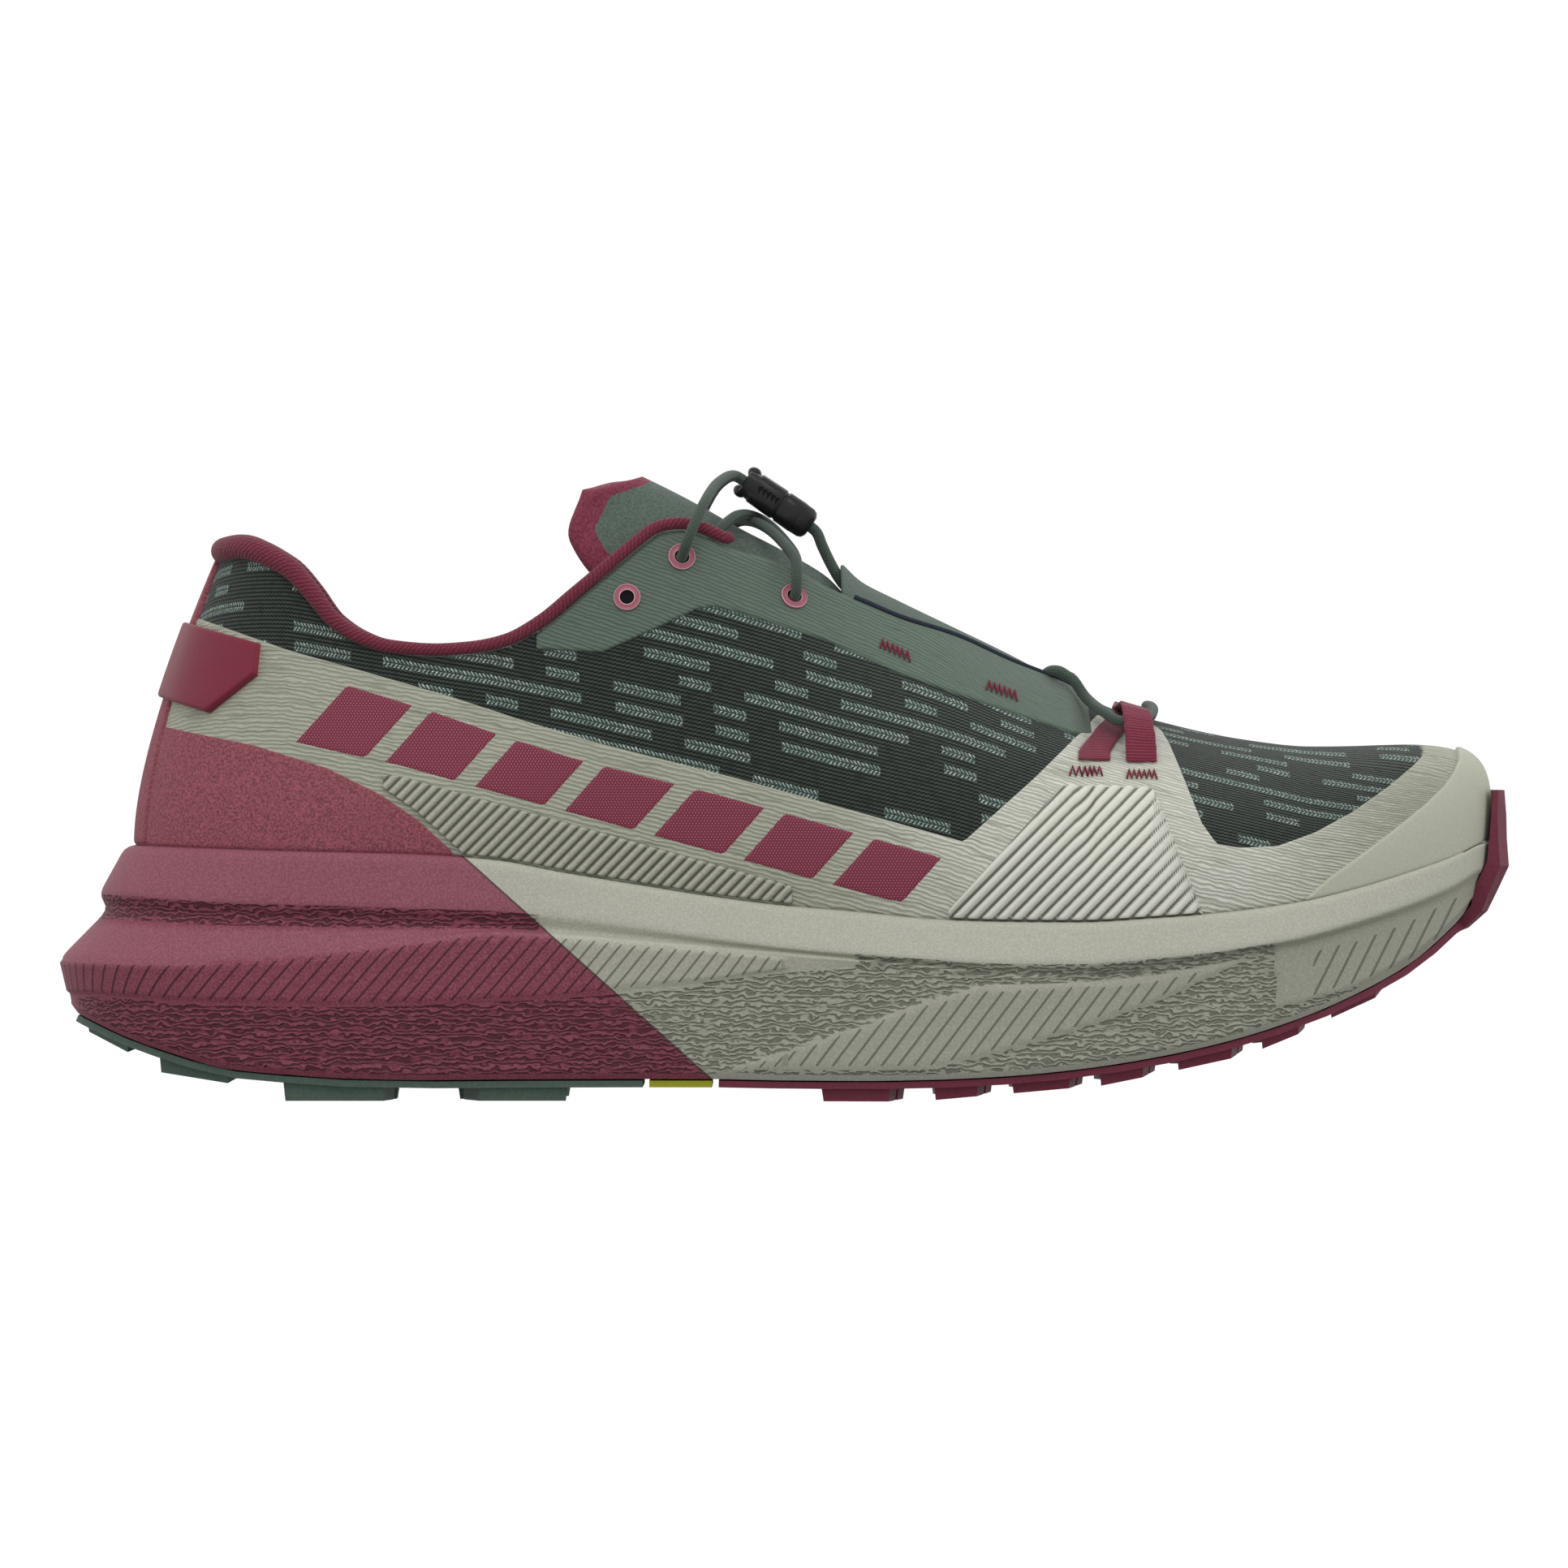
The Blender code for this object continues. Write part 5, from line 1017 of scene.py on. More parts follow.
class Skin:
    """The upper's outer face in fine steps, read at any column and level."""

    def __init__(self):
        columns = [(OUTER, share) for share in FINE] + [(INNER, share) for share in FINE[-2:0:-1]]
        self.grid = np.array([upper_column(*column) for column in columns]).transpose(1, 0, 2)
        self.count = self.grid.shape[1]
        self.top = self.grid.shape[0] - 1
        around = np.roll(self.grid, -1, axis=1) - np.roll(self.grid, 1, axis=1)
        upward = np.gradient(self.grid, axis=0)
        tip = len(FINE) - 1
        last = int(np.searchsorted(FINE, THROAT_END))
        closed = slice(last, 2 * tip - last + 1)
        around[-1, closed] = around[-2, closed]
        self.normals = unit(np.cross(around, upward))
        rim = self.grid[1]
        self.reach = distances_round(rim, len(FINE))
        climb = np.linalg.norm(np.diff(self.grid, axis=0), axis=2)
        climb[0] = 0
        self.climb = np.concatenate([np.zeros((1, self.count)), np.cumsum(climb, axis=0)]) + rim[:, 2]

    def column(self, side, share):
        place = np.interp(share, FINE, np.arange(len(FINE)))
        return place if side == OUTER else -place

    def columns(self, side, start, end, steps):
        """Columns between two shares of the way round one side."""
        return np.linspace(self.column(side, start), self.column(side, end), steps)

    def sample(self, columns, levels):
        """Points, normals and flow coordinates at places given by column and level."""
        columns, levels = np.broadcast_arrays(np.asarray(columns, float), np.asarray(levels, float))
        left = np.floor(columns).astype(int)
        u = (columns - left)[..., None]
        low = np.clip(np.floor(levels).astype(int), 0, self.top - 1)
        v = (levels - low)[..., None]
        a, b = left % self.count, (left + 1) % self.count

        def read(field):
            under = field[low, a] * (1 - u) + field[low, b] * u
            over = field[low + 1, a] * (1 - u) + field[low + 1, b] * u
            return under * (1 - v) + over * v

        reach = self.reach[a] * (1 - u[..., 0]) + self.reach[b] * u[..., 0]
        climb = read(self.climb[..., None])[..., 0]
        return read(self.grid), unit(read(self.normals)), np.stack([reach, climb], axis=-1) * 1000

    def crossing(self, column, edge):
        """Level at which a column rises above an edge drawn in side view."""
        left = int(math.floor(column))
        u = column - left
        points = self.grid[:, left % self.count] * (1 - u) + self.grid[:, (left + 1) % self.count] * u
        over = points[:, 2] - edge_height(edge, points[:, 0] + HEEL_REST_X)
        if over[1] >= 0:
            return 1.0
        rising = np.nonzero(over[2:] > 0)[0]
        if not len(rising):
            return float(self.top)
        k = rising[0] + 1
        return k + over[k] / (over[k] - over[k + 1])

    def find(self, station, height, side):
        """Column and level nearest to a place in side view."""
        half = np.arange(len(FINE))
        points = self.grid[1:, half if side == OUTER else -half % self.count]
        x, z = station * LENGTH - HEEL_REST_X, height * COLLAR_HEIGHT
        miss = np.hypot(points[..., 0] - x, points[..., 2] - z)
        level, column = np.unravel_index(miss.argmin(), miss.shape)
        best = (float(column), level + 1.0)
        sign = 1 if side == OUTER else -1
        for reach in (0.5, 0.25, 0.12, 0.06):
            options = [
                (best[0] + i * reach, min(max(best[1] + j * reach, 1.0), float(self.top)))
                for i in (-1, 0, 1)
                for j in (-1, 0, 1)
            ]
            tried = self.sample([sign * c for c, _ in options], [lv for _, lv in options])[0]
            best = options[int(np.hypot(tried[:, 0] - x, tried[:, 2] - z).argmin())]
        return sign * best[0], best[1]

    def place(self, station, height, side, lift=0.0):
        """Point at a lift over the skin, and the skin's normal there."""
        points, normals, _ = self.sample(*self.find(station, height, side))
        return points + normals * lift, normals

    def height(self, x, y):
        """Height of the skin over a place in plan."""
        rows = self.grid[self.top // 2:]
        miss = np.hypot(rows[..., 0] - x, rows[..., 1] - y)
        near = miss < max(0.0011, float(miss.min()) + 1e-5)
        return float(rows[..., 2][near].max())


def inward_of(points):
    """Distance of places on the skin inward from the sole's widest line."""
    station = (points[..., 0] + HEEL_REST_X) / LENGTH
    half = SOLE_WIDTH / 2 * smooth(station, PLAN["station"], PLAN["width"])
    middle = SOLE_WIDTH * smooth(station, PLAN["station"], PLAN["middle"])
    return np.maximum(half - np.abs(points[..., 1] - middle), 0)


def knit_profile():
    """The vamp's cross section at one station: how far inward it lies at each height of the knit's rows."""
    points = SKIN.grid.reshape(-1, 3)
    fall = np.interp(KNIT_PROFILE_AT, KNIT["station"], KNIT["fall"]) * LENGTH
    away = abs(points[:, 0] + HEEL_REST_X - KNIT_PROFILE_AT * LENGTH)
    near = points[(away < 0.002) & (points[:, 1] < 0)]
    edges = np.linspace(near[:, 2].min(), near[:, 2].max(), 24)
    heights, widths = [], []
    for low, high in zip(edges, edges[1:]):
        some = near[(near[:, 2] >= low) & (near[:, 2] <= high)]
        if len(some):
            heights.append(some[:, 2].mean() + fall)
            widths.append(inward_of(some).mean())
    for k in range(1, len(widths)):
        widths[k] = min(widths[k], widths[k - 1] + KNIT_STEEPEST * (heights[k] - heights[k - 1]))
    return np.array(heights), np.array(widths)


def knit_coordinates(flow, points):
    """Distances along the shoe and up its cross section, whose rows fall towards the toe as the knit's do."""
    x = points[..., 0] + HEEL_REST_X
    station = x / LENGTH
    row = points[..., 2] + np.interp(station, KNIT["station"], KNIT["fall"]) * LENGTH
    rear = row + KNIT_CLIMB[0] * inward_of(points)
    over = np.maximum(inward_of(points) - KNIT_TOP, 0)
    front = row + KNIT_CLIMB[1] * np.interp(row, *knit_profile())
    front = front + KNIT_CLIMB[2] * (over - KNIT_FADE * (1 - np.exp(-over / KNIT_FADE)))
    blend = np.clip((station - KNIT_VAMP[0]) / KNIT_VAMP[1], 0, 1)
    blend = blend * blend * (3 - 2 * blend)
    ahead = np.clip((station - KNIT_AHEAD[0]) / KNIT_AHEAD[1], 0, 1)
    along = flow[..., 0] * (1 - ahead) + (x * 1000 + KNIT_START) * ahead
    return np.stack([along, (rear * (1 - blend) + front * blend) * 1000], axis=-1)


def shell(name, columns, low, high, lift, thick, rows, look, relief=None):
    """Layer on the skin between two levels of each column, its border rolled down to the skin."""
    low = np.asarray(low, float)
    high = np.maximum(np.asarray(high, float), low + 1e-4)
    offsets = np.concatenate([ROLLED[1], np.ones(rows), ROLLED[1][::-1]])
    levels = []
    for a, b in zip(low, high):
        room = (b - a) / 3
        edge = np.minimum(ROLLED[0], room)
        inner = np.linspace(a + min(ROLLED_END, room), b - min(ROLLED_END, room), rows)
        levels.append(np.concatenate([a + edge, inner, (b - edge)[::-1]]))
    levels = np.array(levels).T
    places = np.broadcast_to(np.asarray(columns, float), levels.shape)
    lifts = np.broadcast_to((lift + thick * offsets)[:, None], levels.shape)
    places, levels, lifts = (np.pad(field, ((0, 0), (1, 1)), "edge") for field in (places, levels, lifts))
    lifts[:, [0, -1]] = 0
    lifts[[0, -1]] = 0
    points, normals, flow = SKIN.sample(places, levels)
    raised = relief(points) * (lifts > lift + 0.9 * thick) if relief else lifts * 0
    points = points + normals * (lifts + raised)[..., None]
    centre = points.reshape(-1, 3).mean(0) - normals.reshape(-1, 3).mean(0) * 0.05
    faces = outward_faces(points, grid_faces(*points.shape[:2]), centre)
    layers = {"flow": flow, "knit": knit_coordinates(flow, points)}
    values = {"raised": raised * 1000} if relief else {}
    return mesh_object(name, points, faces, look, layers, values=values)


def between(name, node, columns, bottom, top, look, lift, thick, rows, relief=None):
    """Shell between two edges drawn in side view, in place of a node."""
    low = [max(SKIN.crossing(c, bottom), SHELL_FOOT) if bottom else SHELL_FOOT for c in columns]
    high = [SKIN.crossing(c, top) if top else SKIN.top - SHELL_HEAD for c in columns]
    made = shell(name, columns, low, high, lift, thick, rows, LOOKS[look], relief)
    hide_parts(node)
    return made


def both_sides(share, steps):
    """Columns from a share on the inner side round the heel to the same share on the outer side."""
    last = SKIN.column(OUTER, share)
    return np.linspace(-last, last, steps)


def sweep(name, path, radii, look, sides=16):
    """Round tube with its own flow coordinates along and round it."""
    path = np.asarray(path, float)
    radii = np.broadcast_to(np.asarray(radii, float), (len(path),))
    ahead = unit(np.gradient(path, axis=0))
    side = np.cross(ahead[0], (0, 0, 1))
    if np.linalg.norm(side) < 1e-3:
        side = np.cross(ahead[0], (0, 1, 0))
    side = unit(side)
    angles = np.linspace(0, 2 * math.pi, sides, endpoint=False)
    rings, flow = [], []
    for point, direction, radius, s in zip(path, ahead, radii, distances(path) * 1000):
        side = unit(side - direction * side.dot(direction))
        other = np.cross(direction, side)
        rings.append([point + radius * (math.cos(a) * side + math.sin(a) * other) for a in angles])
        flow.append([(s, a * radius * 1000) for a in angles])
    points = np.array(rings).reshape(-1, 3)
    faces = grid_faces(len(path), sides, closed=True)
    faces.append(tuple(range(sides))[::-1])
    faces.append(tuple(range((len(path) - 1) * sides, len(path) * sides)))
    a, b, c = points[0], points[1], points[sides + 1]
    if np.cross(b - a, c - a).dot(a - path[0]) < 0:
        faces = [f[::-1] for f in faces]
    return mesh_object(name, points, faces, look, {"flow": np.array(flow)})


def smooth_path(points, spacing):
    """Evenly spaced points on a smooth curve through the given ones."""
    points = [np.array(p, float) for p in points]
    ends = [2 * points[0] - points[1]] + points + [2 * points[-1] - points[-2]]
    dense = []
    for a, b, c, d in zip(ends, ends[1:], ends[2:], ends[3:]):
        for t in np.linspace(0, 1, 16, endpoint=False):
            square = (2 * a - 5 * b + 4 * c - d) * t**2
            dense.append(0.5 * (2 * b + (c - a) * t + square + (3 * b - a - 3 * c + d) * t**3))
    dense = np.array(dense + [points[-1]])
    reach = distances(dense)
    at = np.linspace(0, reach[-1], max(3, round(reach[-1] / spacing) + 1))
    return np.stack([np.interp(at, reach, dense[:, k]) for k in range(3)], axis=1)


def lace_points(points, side):
    return [
        np.array((station * LENGTH - HEEL_REST_X, side * out * SOLE_WIDTH, height * COLLAR_HEIGHT))
        for station, out, height in points
    ]


def lay_cord(name, points, nodes, on_it=()):
    """Cord through the given points, in place of nodes of the solid model."""
    path = smooth_path(points, CORD_STEP)
    cord = sweep(name, path, CORD / 2, LOOKS["braid"])
    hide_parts(*nodes)


def build_cords(lock):
    """Each side's cord runs from its front eyelet over the tongue, down inside the collar, out of the
    other side's top eyelet, through the cord lock and on into the pocket."""
    for word, side in SIDES:
        other, far_word = (INNER, "inner") if side == OUTER else (OUTER, "outer")
        lift = np.array([0, 0, CORD / 4 * side])
        crossing = [p + lift for p in lace_points(CROSSING, side)]
        hole, normal = SKIN.place(EYELETS["station"][2], EYELETS["height"][2], side)
        start = [hole + normal * rise for rise in FRONT_EYELET_WAY]
        top_hole, top_normal = SKIN.place(EYELETS["station"][0], EYELETS["height"][0], other)
        inside = [crossing[-1], top_hole - top_normal * BEHIND_EYELET[0] + np.array(BEHIND_EYELET[1])]
        out = [top_hole + top_normal * rise for rise in TOP_EYELET_WAY]
        end = lace_points(LACE_END, other)
        tail = lace_points(LACE_TAIL, other)
        within = [end[-1] + (tail[0] - end[-1]) * t for t in (0.2, 0.4, 0.6, 0.8)]
        last = tail[-1] + (tail[-1] - tail[-2]) * 1.2 + np.array([0, 0, 0.0006])
        points = start + crossing[1:-1] + inside + out + end[1:] + within + tail + [last]
        nodes = ["lace_end_" + far_word, "lace_tail_" + far_word]
        if side == OUTER:
            nodes.append("lace_crossings")
        lay_cord("cord_" + word, points, nodes, lock if side == OUTER else ())


def build_front_cord():
    """Cord through the webbing loops of both sides, both its ends down in the throat."""
    route = lace_points(FRONT_START, OUTER)
    for side, points in ((OUTER, FRONT_LACE), (INNER, FRONT_LACE[-2::-1])):
        for station, out, lift in points:
            x = station * LENGTH - HEEL_REST_X
            middle = SOLE_WIDTH * float(smooth(station, TOP["station"], TOP["middle"]))
            y = middle + side * out * SOLE_WIDTH
            route.append((x, y, SKIN.height(x, y) + lift))
    route += lace_points(FRONT_START[::-1], INNER)
    lay_cord("cord_front", route, ["lace_front"])


def build_upper():
    """Knit of the upper: outer face, rounded top edge and lining."""
    grid, normals = SKIN.grid[1:], SKIN.normals[1:]
    count = SKIN.count
    shares = np.concatenate([FINE, FINE[-2:0:-1]])
    pad = np.interp(shares, PADDING["round"], PADDING["share"])
    level = np.linspace(0, 1, len(grid))[:, None]
    thick = UPPER_WALL + (COLLAR_PAD - UPPER_WALL) * pad[None, :] * np.clip((level - PAD_START) / PAD_RISE, 0, 1)
    lining = grid - normals * thick[..., None]
    lining[-1] -= np.array([0, 0, LINING_DROP])
    middle = (grid[-1] + lining[-1]) / 2 + np.array([0, 0, EDGE_ROUND]) * (shares < THROAT_END)[:, None]
    rows = np.concatenate([grid, middle[None], lining[::-1]])
    faces = grid_faces(len(rows), count, closed=True)
    outside = faces[: count * (len(grid) - 2)]
    if outward_faces(rows, outside, np.array([0.08, 0, 0.05])) is not outside:
        faces = [f[::-1] for f in faces]
    flow = np.stack([np.broadcast_to(SKIN.reach, SKIN.climb.shape), SKIN.climb], axis=-1)[1:] * 1000
    flow = np.concatenate([flow, flow[-1:], flow[::-1]])
    layers = {"flow": flow, "knit": knit_coordinates(flow, rows)}
    upper = mesh_object("upper_knit", rows, faces, LOOKS["mesh"], layers)
    for look in ("lining", "eyestay", "beige_knit"):
        upper.data.materials.append(LOOKS[look])
    lining_look, eyestay_look, beige_look = 1, 2, 3
    chosen = np.zeros(len(upper.data.polygons), int)
    chosen[count * (len(grid) - 1) + count // 1:] = lining_look
    row, column = np.divmod(np.arange(len(chosen)), count)
    throat = (shares[column % count] > THROAT_START) & (shares[column % count] < THROAT_END - 0.002)
    chosen[throat & (row > len(grid) - 5) & (row < len(grid) + 1)] = eyestay_look
    centres = np.zeros(len(chosen) * 3)
    upper.data.polygons.foreach_get("center", centres)
    chosen[(centres[::3] > TOE_BAND_START) & (chosen == 0)] = beige_look
    upper.data.polygons.foreach_set("material_index", chosen)
    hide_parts("upper")


def build_overlays():
    """Films and knits of the upper, each between its edges, wherever it has any height."""
    columns = [c for c in both_sides(0.30, 260) if SKIN.crossing(c, COUNTER_TOP) > 1.02]
    between(
        "counter_film", "heel_counter", columns, None, COUNTER_TOP, "heel_film",
        lift=0.00045, thick=0.00025, rows=26,
    )
    between(
        "side_band_knit", "side_band", both_sides(0.975, 900), None, BAND_TOP, "beige_knit",
        lift=0.00005, thick=0.00035, rows=40,
    )
    first = SKIN.column(OUTER, 0.84)
    columns = np.linspace(first, 2 * (len(FINE) - 1) - first, 260)
    columns = [c for c in columns if SKIN.crossing(c, TOE_CAP_TOP) > 1.05]
    between(
        "toe_cap_film", "toe_cap", columns, None, TOE_CAP_TOP, "beige_cap",
        lift=0.0004, thick=0.0005, rows=26,
    )
    for word, side in SIDES:
        columns = [c for c in SKIN.columns(side, 0.185, 0.575, 420) if rear_ribs_show(c)]
        between(
            "ribs_rear_film_" + word, "ribs_rear_" + word, columns, REAR_RIBS_BOTTOM, REAR_RIBS_TOP,
            "beige_rib", lift=0.0003, thick=0.0002, rows=64, relief=ribs(2.42, 0.0008),
        )
        columns = [c for c in SKIN.columns(side, 0.60, 0.80, 200) if SKIN.crossing(c, FRONT_RIBS_TOP) > 1.2]
        between(
            "ribs_front_film_" + word, "ribs_front_" + word, columns, None, FRONT_RIBS_TOP,
            "beige_rib", lift=0.0003, thick=0.0002, rows=84, relief=ribs(2.85, 0.0009),
        )
        between(
            "eyestay_film_" + word, "eyestay_" + word, SKIN.columns(side, THROAT_START, THROAT_END, 300),
            EYESTAY_BOTTOM, None, "eyestay", lift=0.00015, thick=0.0003, rows=24,
        )
    strip = both_sides(0.010, 12)
    low, high = [1.0] * len(strip), [SKIN.top - 2.0] * len(strip)
    shell("heel_strip", strip, low, high, 0.0004, 0.0005, 40, LOOKS["heel_film"])
    made = between(
        "pull_tab_tape", "pull_tab", both_sides(0.086, 130), TAB_BOTTOM, TAB_TOP, "tab",
        lift=0.0009, thick=0.0012, rows=14,
    )


def rear_ribs_show(column):
    """Whether the rear rib panel has any height at a column, above the rim and ahead of the counter."""
    top = SKIN.crossing(column, REAR_RIBS_TOP)
    return top > max(SKIN.crossing(column, REAR_RIBS_BOTTOM), SKIN.crossing(column, COUNTER_TOP)) + 0.3


def ribs(pitch, height):
    """Rounded ribs leaning forward at 45 degrees, with sharp grooves between them."""

    def relief(points):
        x = points[..., 0] + HEEL_REST_X
        phase = ((x - points[..., 2]) * 1000 / pitch) % 1.0
        return np.sin(np.pi * np.clip(phase / 0.80, 0, 1)) ** 0.55 * height

    return relief


def build_piping():
    """Knitted roll round the collar, thicker at the heel."""
    shares = np.linspace(PIPING_END, 0.0, 120)
    columns = [SKIN.column(OUTER, s) for s in shares] + [SKIN.column(INNER, s) for s in shares[-2::-1]]
    edge, _, _ = SKIN.sample(columns, SKIN.top)
    shares = np.concatenate([shares, shares[-2::-1]])
    radius = np.interp(shares, *PIPING_RADIUS)
    radius = radius * np.clip((PIPING_END - shares) / 0.004 + 0.55, 0.55, 1)
    along = unit(np.gradient(edge, axis=0))
    lift = unit(np.array([0, 0, 1]) - along * along[:, 2:])
    route = edge + lift * (PIPING_RISE - radius)[:, None]
    path = smooth_path(route[::2], 0.0011)
    radii = np.interp(np.linspace(0, 1, len(path)), np.linspace(0, 1, len(radius)), radius)
    made = sweep("collar_roll", path, radii, LOOKS["piping"], sides=22)
    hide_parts("collar_piping")


def fine_sheet(rows, along_steps, across_steps):
    """Middle surface of a domed strip, smoothed between the rows of its table."""
    at = np.linspace(0, 1, along_steps)
    own = np.linspace(0, 1, len(rows["station"]))
    read = {key: smooth(at, own, values.astype(float))[:, None] for key, values in rows.items()}
    share = np.linspace(-1, 1, across_steps)[None, :]
    back = read.get("back", 0.0) * SOLE_WIDTH * share**2
    x = read["station"] * LENGTH - HEEL_REST_X - back + share * 0
    y = read["half"] * SOLE_WIDTH * share
    z = COLLAR_HEIGHT * (read["height"] - read["down"] * share**2)
    return np.stack([x, y, z], axis=-1)


def thick_sheet(name, grid, thick, look):
    """Closed cloth sheet below a grid of points, its rim rounded."""
    normals = unit(np.cross(np.gradient(grid, axis=0), np.gradient(grid, axis=1)))
    if normals[..., 2].mean() > 0:
        normals = -normals
    rows, columns = grid.shape[:2]
    faces = grid_faces(rows, columns) + grid_faces(rows, columns, start=rows * columns, flip=True)
    ring = [(0, j) for j in range(columns)] + [(i, columns - 1) for i in range(1, rows)]
    ring += [(rows - 1, j) for j in range(columns - 2, -1, -1)] + [(i, 0) for i in range(rows - 2, 0, -1)]
    rim = []
    for i, j in ring:
        out = np.zeros(3)
        if i in (0, rows - 1):
            out = out + unit(grid[i, j] - grid[1 if i == 0 else rows - 2, j])
        if j in (0, columns - 1):
            out = out + unit(grid[i, j] - grid[i, 1 if j == 0 else columns - 2])
        rim.append(grid[i, j] + normals[i, j] * thick / 2 + unit(out) * thick * 0.35)
    points = np.concatenate([grid.reshape(-1, 3), (grid + normals * thick).reshape(-1, 3), np.array(rim)])
    for k, (i, j) in enumerate(ring):
        n = (k + 1) % len(ring)
        a, b = i * columns + j, ring[n][0] * columns + ring[n][1]
        m, q = 2 * rows * columns + k, 2 * rows * columns + n
        faces.append((a, m, q, b))
        faces.append((m, a + rows * columns, b + rows * columns, q))
    reach = distances(grid[:, columns // 2])
    widths = np.array([distances(row) for row in grid])
    widths = widths - widths[:, columns // 2: columns // 2 + 1]
    flow = np.stack([np.broadcast_to(reach[:, None], widths.shape), widths], axis=-1) * 1000
    edge = np.array([flow[i, j] for i, j in ring])
    flow = np.concatenate([flow.reshape(-1, 2), flow.reshape(-1, 2), edge])
    made = mesh_object(name, points, faces, look, {"flow": flow})
    shape = bmesh.new()
    shape.from_mesh(made.data)
    bmesh.ops.recalc_face_normals(shape, faces=shape.faces)
    shape.to_mesh(made.data)
    shape.free()
    return made


def build_tongue():
    """Padded tongue with a crimson strip along its rear and top edges, and the pocket's flap."""
    grid = fine_sheet(TONGUE, 90, 45)
    made = thick_sheet("tongue_pad", grid, TONGUE_THICK, LOOKS["tongue"])
    side_view = np.array([v.co[:] for v in made.data.vertices])[:, [0, 2]]
    rear = grid[int(len(grid) * TONGUE_STRIP_START):, 0][:, [0, 2]]
    top = grid[-1][:, [0, 2]]
    far = [np.linalg.norm(side_view[:, None] - line[None], axis=2).min(axis=1) for line in (rear, top)]
    strip = np.maximum(1 - far[0] / TONGUE_STRIP[0], 1 - far[1] / TONGUE_STRIP[1])
    layer = made.data.attributes.new("strip", "FLOAT", "POINT")
    layer.data.foreach_set("value", np.clip(strip, -1, 1).astype(float))
    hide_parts("tongue")
    made = thick_sheet("pocket_flap", fine_sheet(POCKET, 70, 31), POCKET_THICK, LOOKS["pocket"])
    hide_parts("lace_pocket")


def build_eyelets():
    """Rings with a painted highlight on their lips, each with a dark disc of painted shade in its hole."""
    angles = np.linspace(0, 2 * math.pi, EYELET_STEPS, endpoint=False)
    hole_angles = np.linspace(0, 2 * math.pi, 24, endpoint=False)
    for number, (station, height) in enumerate(zip(EYELETS["station"], EYELETS["height"]), 1):
        for word, side in SIDES:
            point, normal = SKIN.place(station, height, side, 0.00045)
            turn = np.array(Vector(normal).to_track_quat("Z", "Y").to_matrix())

            def ring(radius, lift, at):
                flat = np.stack([radius * np.cos(at), radius * np.sin(at), at * 0 + lift], axis=1)
                return point + flat @ turn.T

            points = np.concatenate([ring(radius, lift, angles) for radius, lift in EYELET_PROFILE])
            faces = grid_faces(len(EYELET_PROFILE), EYELET_STEPS, closed=True)
            faces = outward_faces(points, faces, point - normal * 0.002)
            made = mesh_object(f"eyelet_ring_{word}_{number}", points, faces, LOOKS["pink"])
            made.data.materials.append(LOOKS["painted_lip_highlight"])
            # the lips' faces take the pale colour of the painted highlight
            highlight_faces = [1 if i // EYELET_STEPS in EYELET_LIPS else 0 for i in range(len(faces))]
            made.data.polygons.foreach_set("material_index", highlight_faces)
            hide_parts(f"eyelet_{word}_{number}")
            # dark disc of painted shade in the hole
            hole = ring(EYELET_HOLE * 1.05, 0.0001, hole_angles)
            mesh_object(f"eyelet_hole_{word}_{number}", hole, [tuple(range(24))], LOOKS["hole"], smooth=False)


def seen_at(x, z, side, lift, start):
    """Place at a lift over the skin that shows at the given place in side view."""
    station, height = start
    for _ in range(4):
        point = SKIN.place(station, height, side, lift)[0]
        station += (x - point[0]) / LENGTH
        height += (z - point[2]) / COLLAR_HEIGHT
    return point


def strap(leg, side, lean):
    """One leg of a webbing loop: rows of points across it, level in side view but for the lean at its apex."""
    steps = np.linspace(0, len(leg["station"]) - 1, 40)
    index = np.arange(len(leg["station"]))
    stations, heights, lifts = (np.interp(steps, index, leg[key]) for key in ("station", "height", "lift"))
    grid = []
    for k, (station, height, lift) in enumerate(zip(stations, heights, lifts)):
        centre = SKIN.place(station, height, side, WEBBING_SEAT + lift)[0]
        over = STRAP_LIFT + lift + (WEBBING_SEAT - STRAP_LIFT) * min(1.0, lift / 0.003)
        part = k / (len(stations) - 1)
        half = STRAP_HALF[0] + (STRAP_HALF[1] - STRAP_HALF[0]) * part
        grid.append([
            seen_at(
                centre[0] + share * half, centre[2] - share * lean * part, side, over,
                (station + share * half / LENGTH, height),
            )
            for share in np.linspace(-1, 1, 9)
        ])
    return np.array(grid)


def build_webbing():
    """Two straps a side that hold the front cord."""
    for word, side in SIDES:
        for leg, table_of, lean in (("rear", WEBBING_REAR, 0.0003), ("front", WEBBING_FRONT, 0.0009)):
            grid = strap(table_of, side, lean)
            made = thick_sheet(f"webbing_{leg}_{word}", grid, WEBBING_THICK, LOOKS["webbing"])
        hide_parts("lace_loop_" + word)


def zigzag(name, start, end, tall, side):
    """Bar tack drawn in side view between two places."""
    places = []
    for k in range(TACK_PEAKS * 2 + 1):
        t = k / (TACK_PEAKS * 2)
        station = start[0] + (end[0] - start[0]) * t
        height = start[1] + (end[1] - start[1]) * t + (tall if k % 2 else 0.0)
        places.append(SKIN.place(station, height, side, 0.0007)[0])
    path = []
    for a, b in zip(places, places[1:]):
        path += [a, a + (b - a) * 0.5]
    path.append(places[-1])
    sweep(name, path, THREAD_RADIUS, LOOKS["thread"], sides=6)


def build_stitches():
    for number, (start, end, tall) in enumerate(TACKS, 1):
        for word, side in SIDES:
            zigzag(f"tack_{word}_{number}", start, end, tall, side)


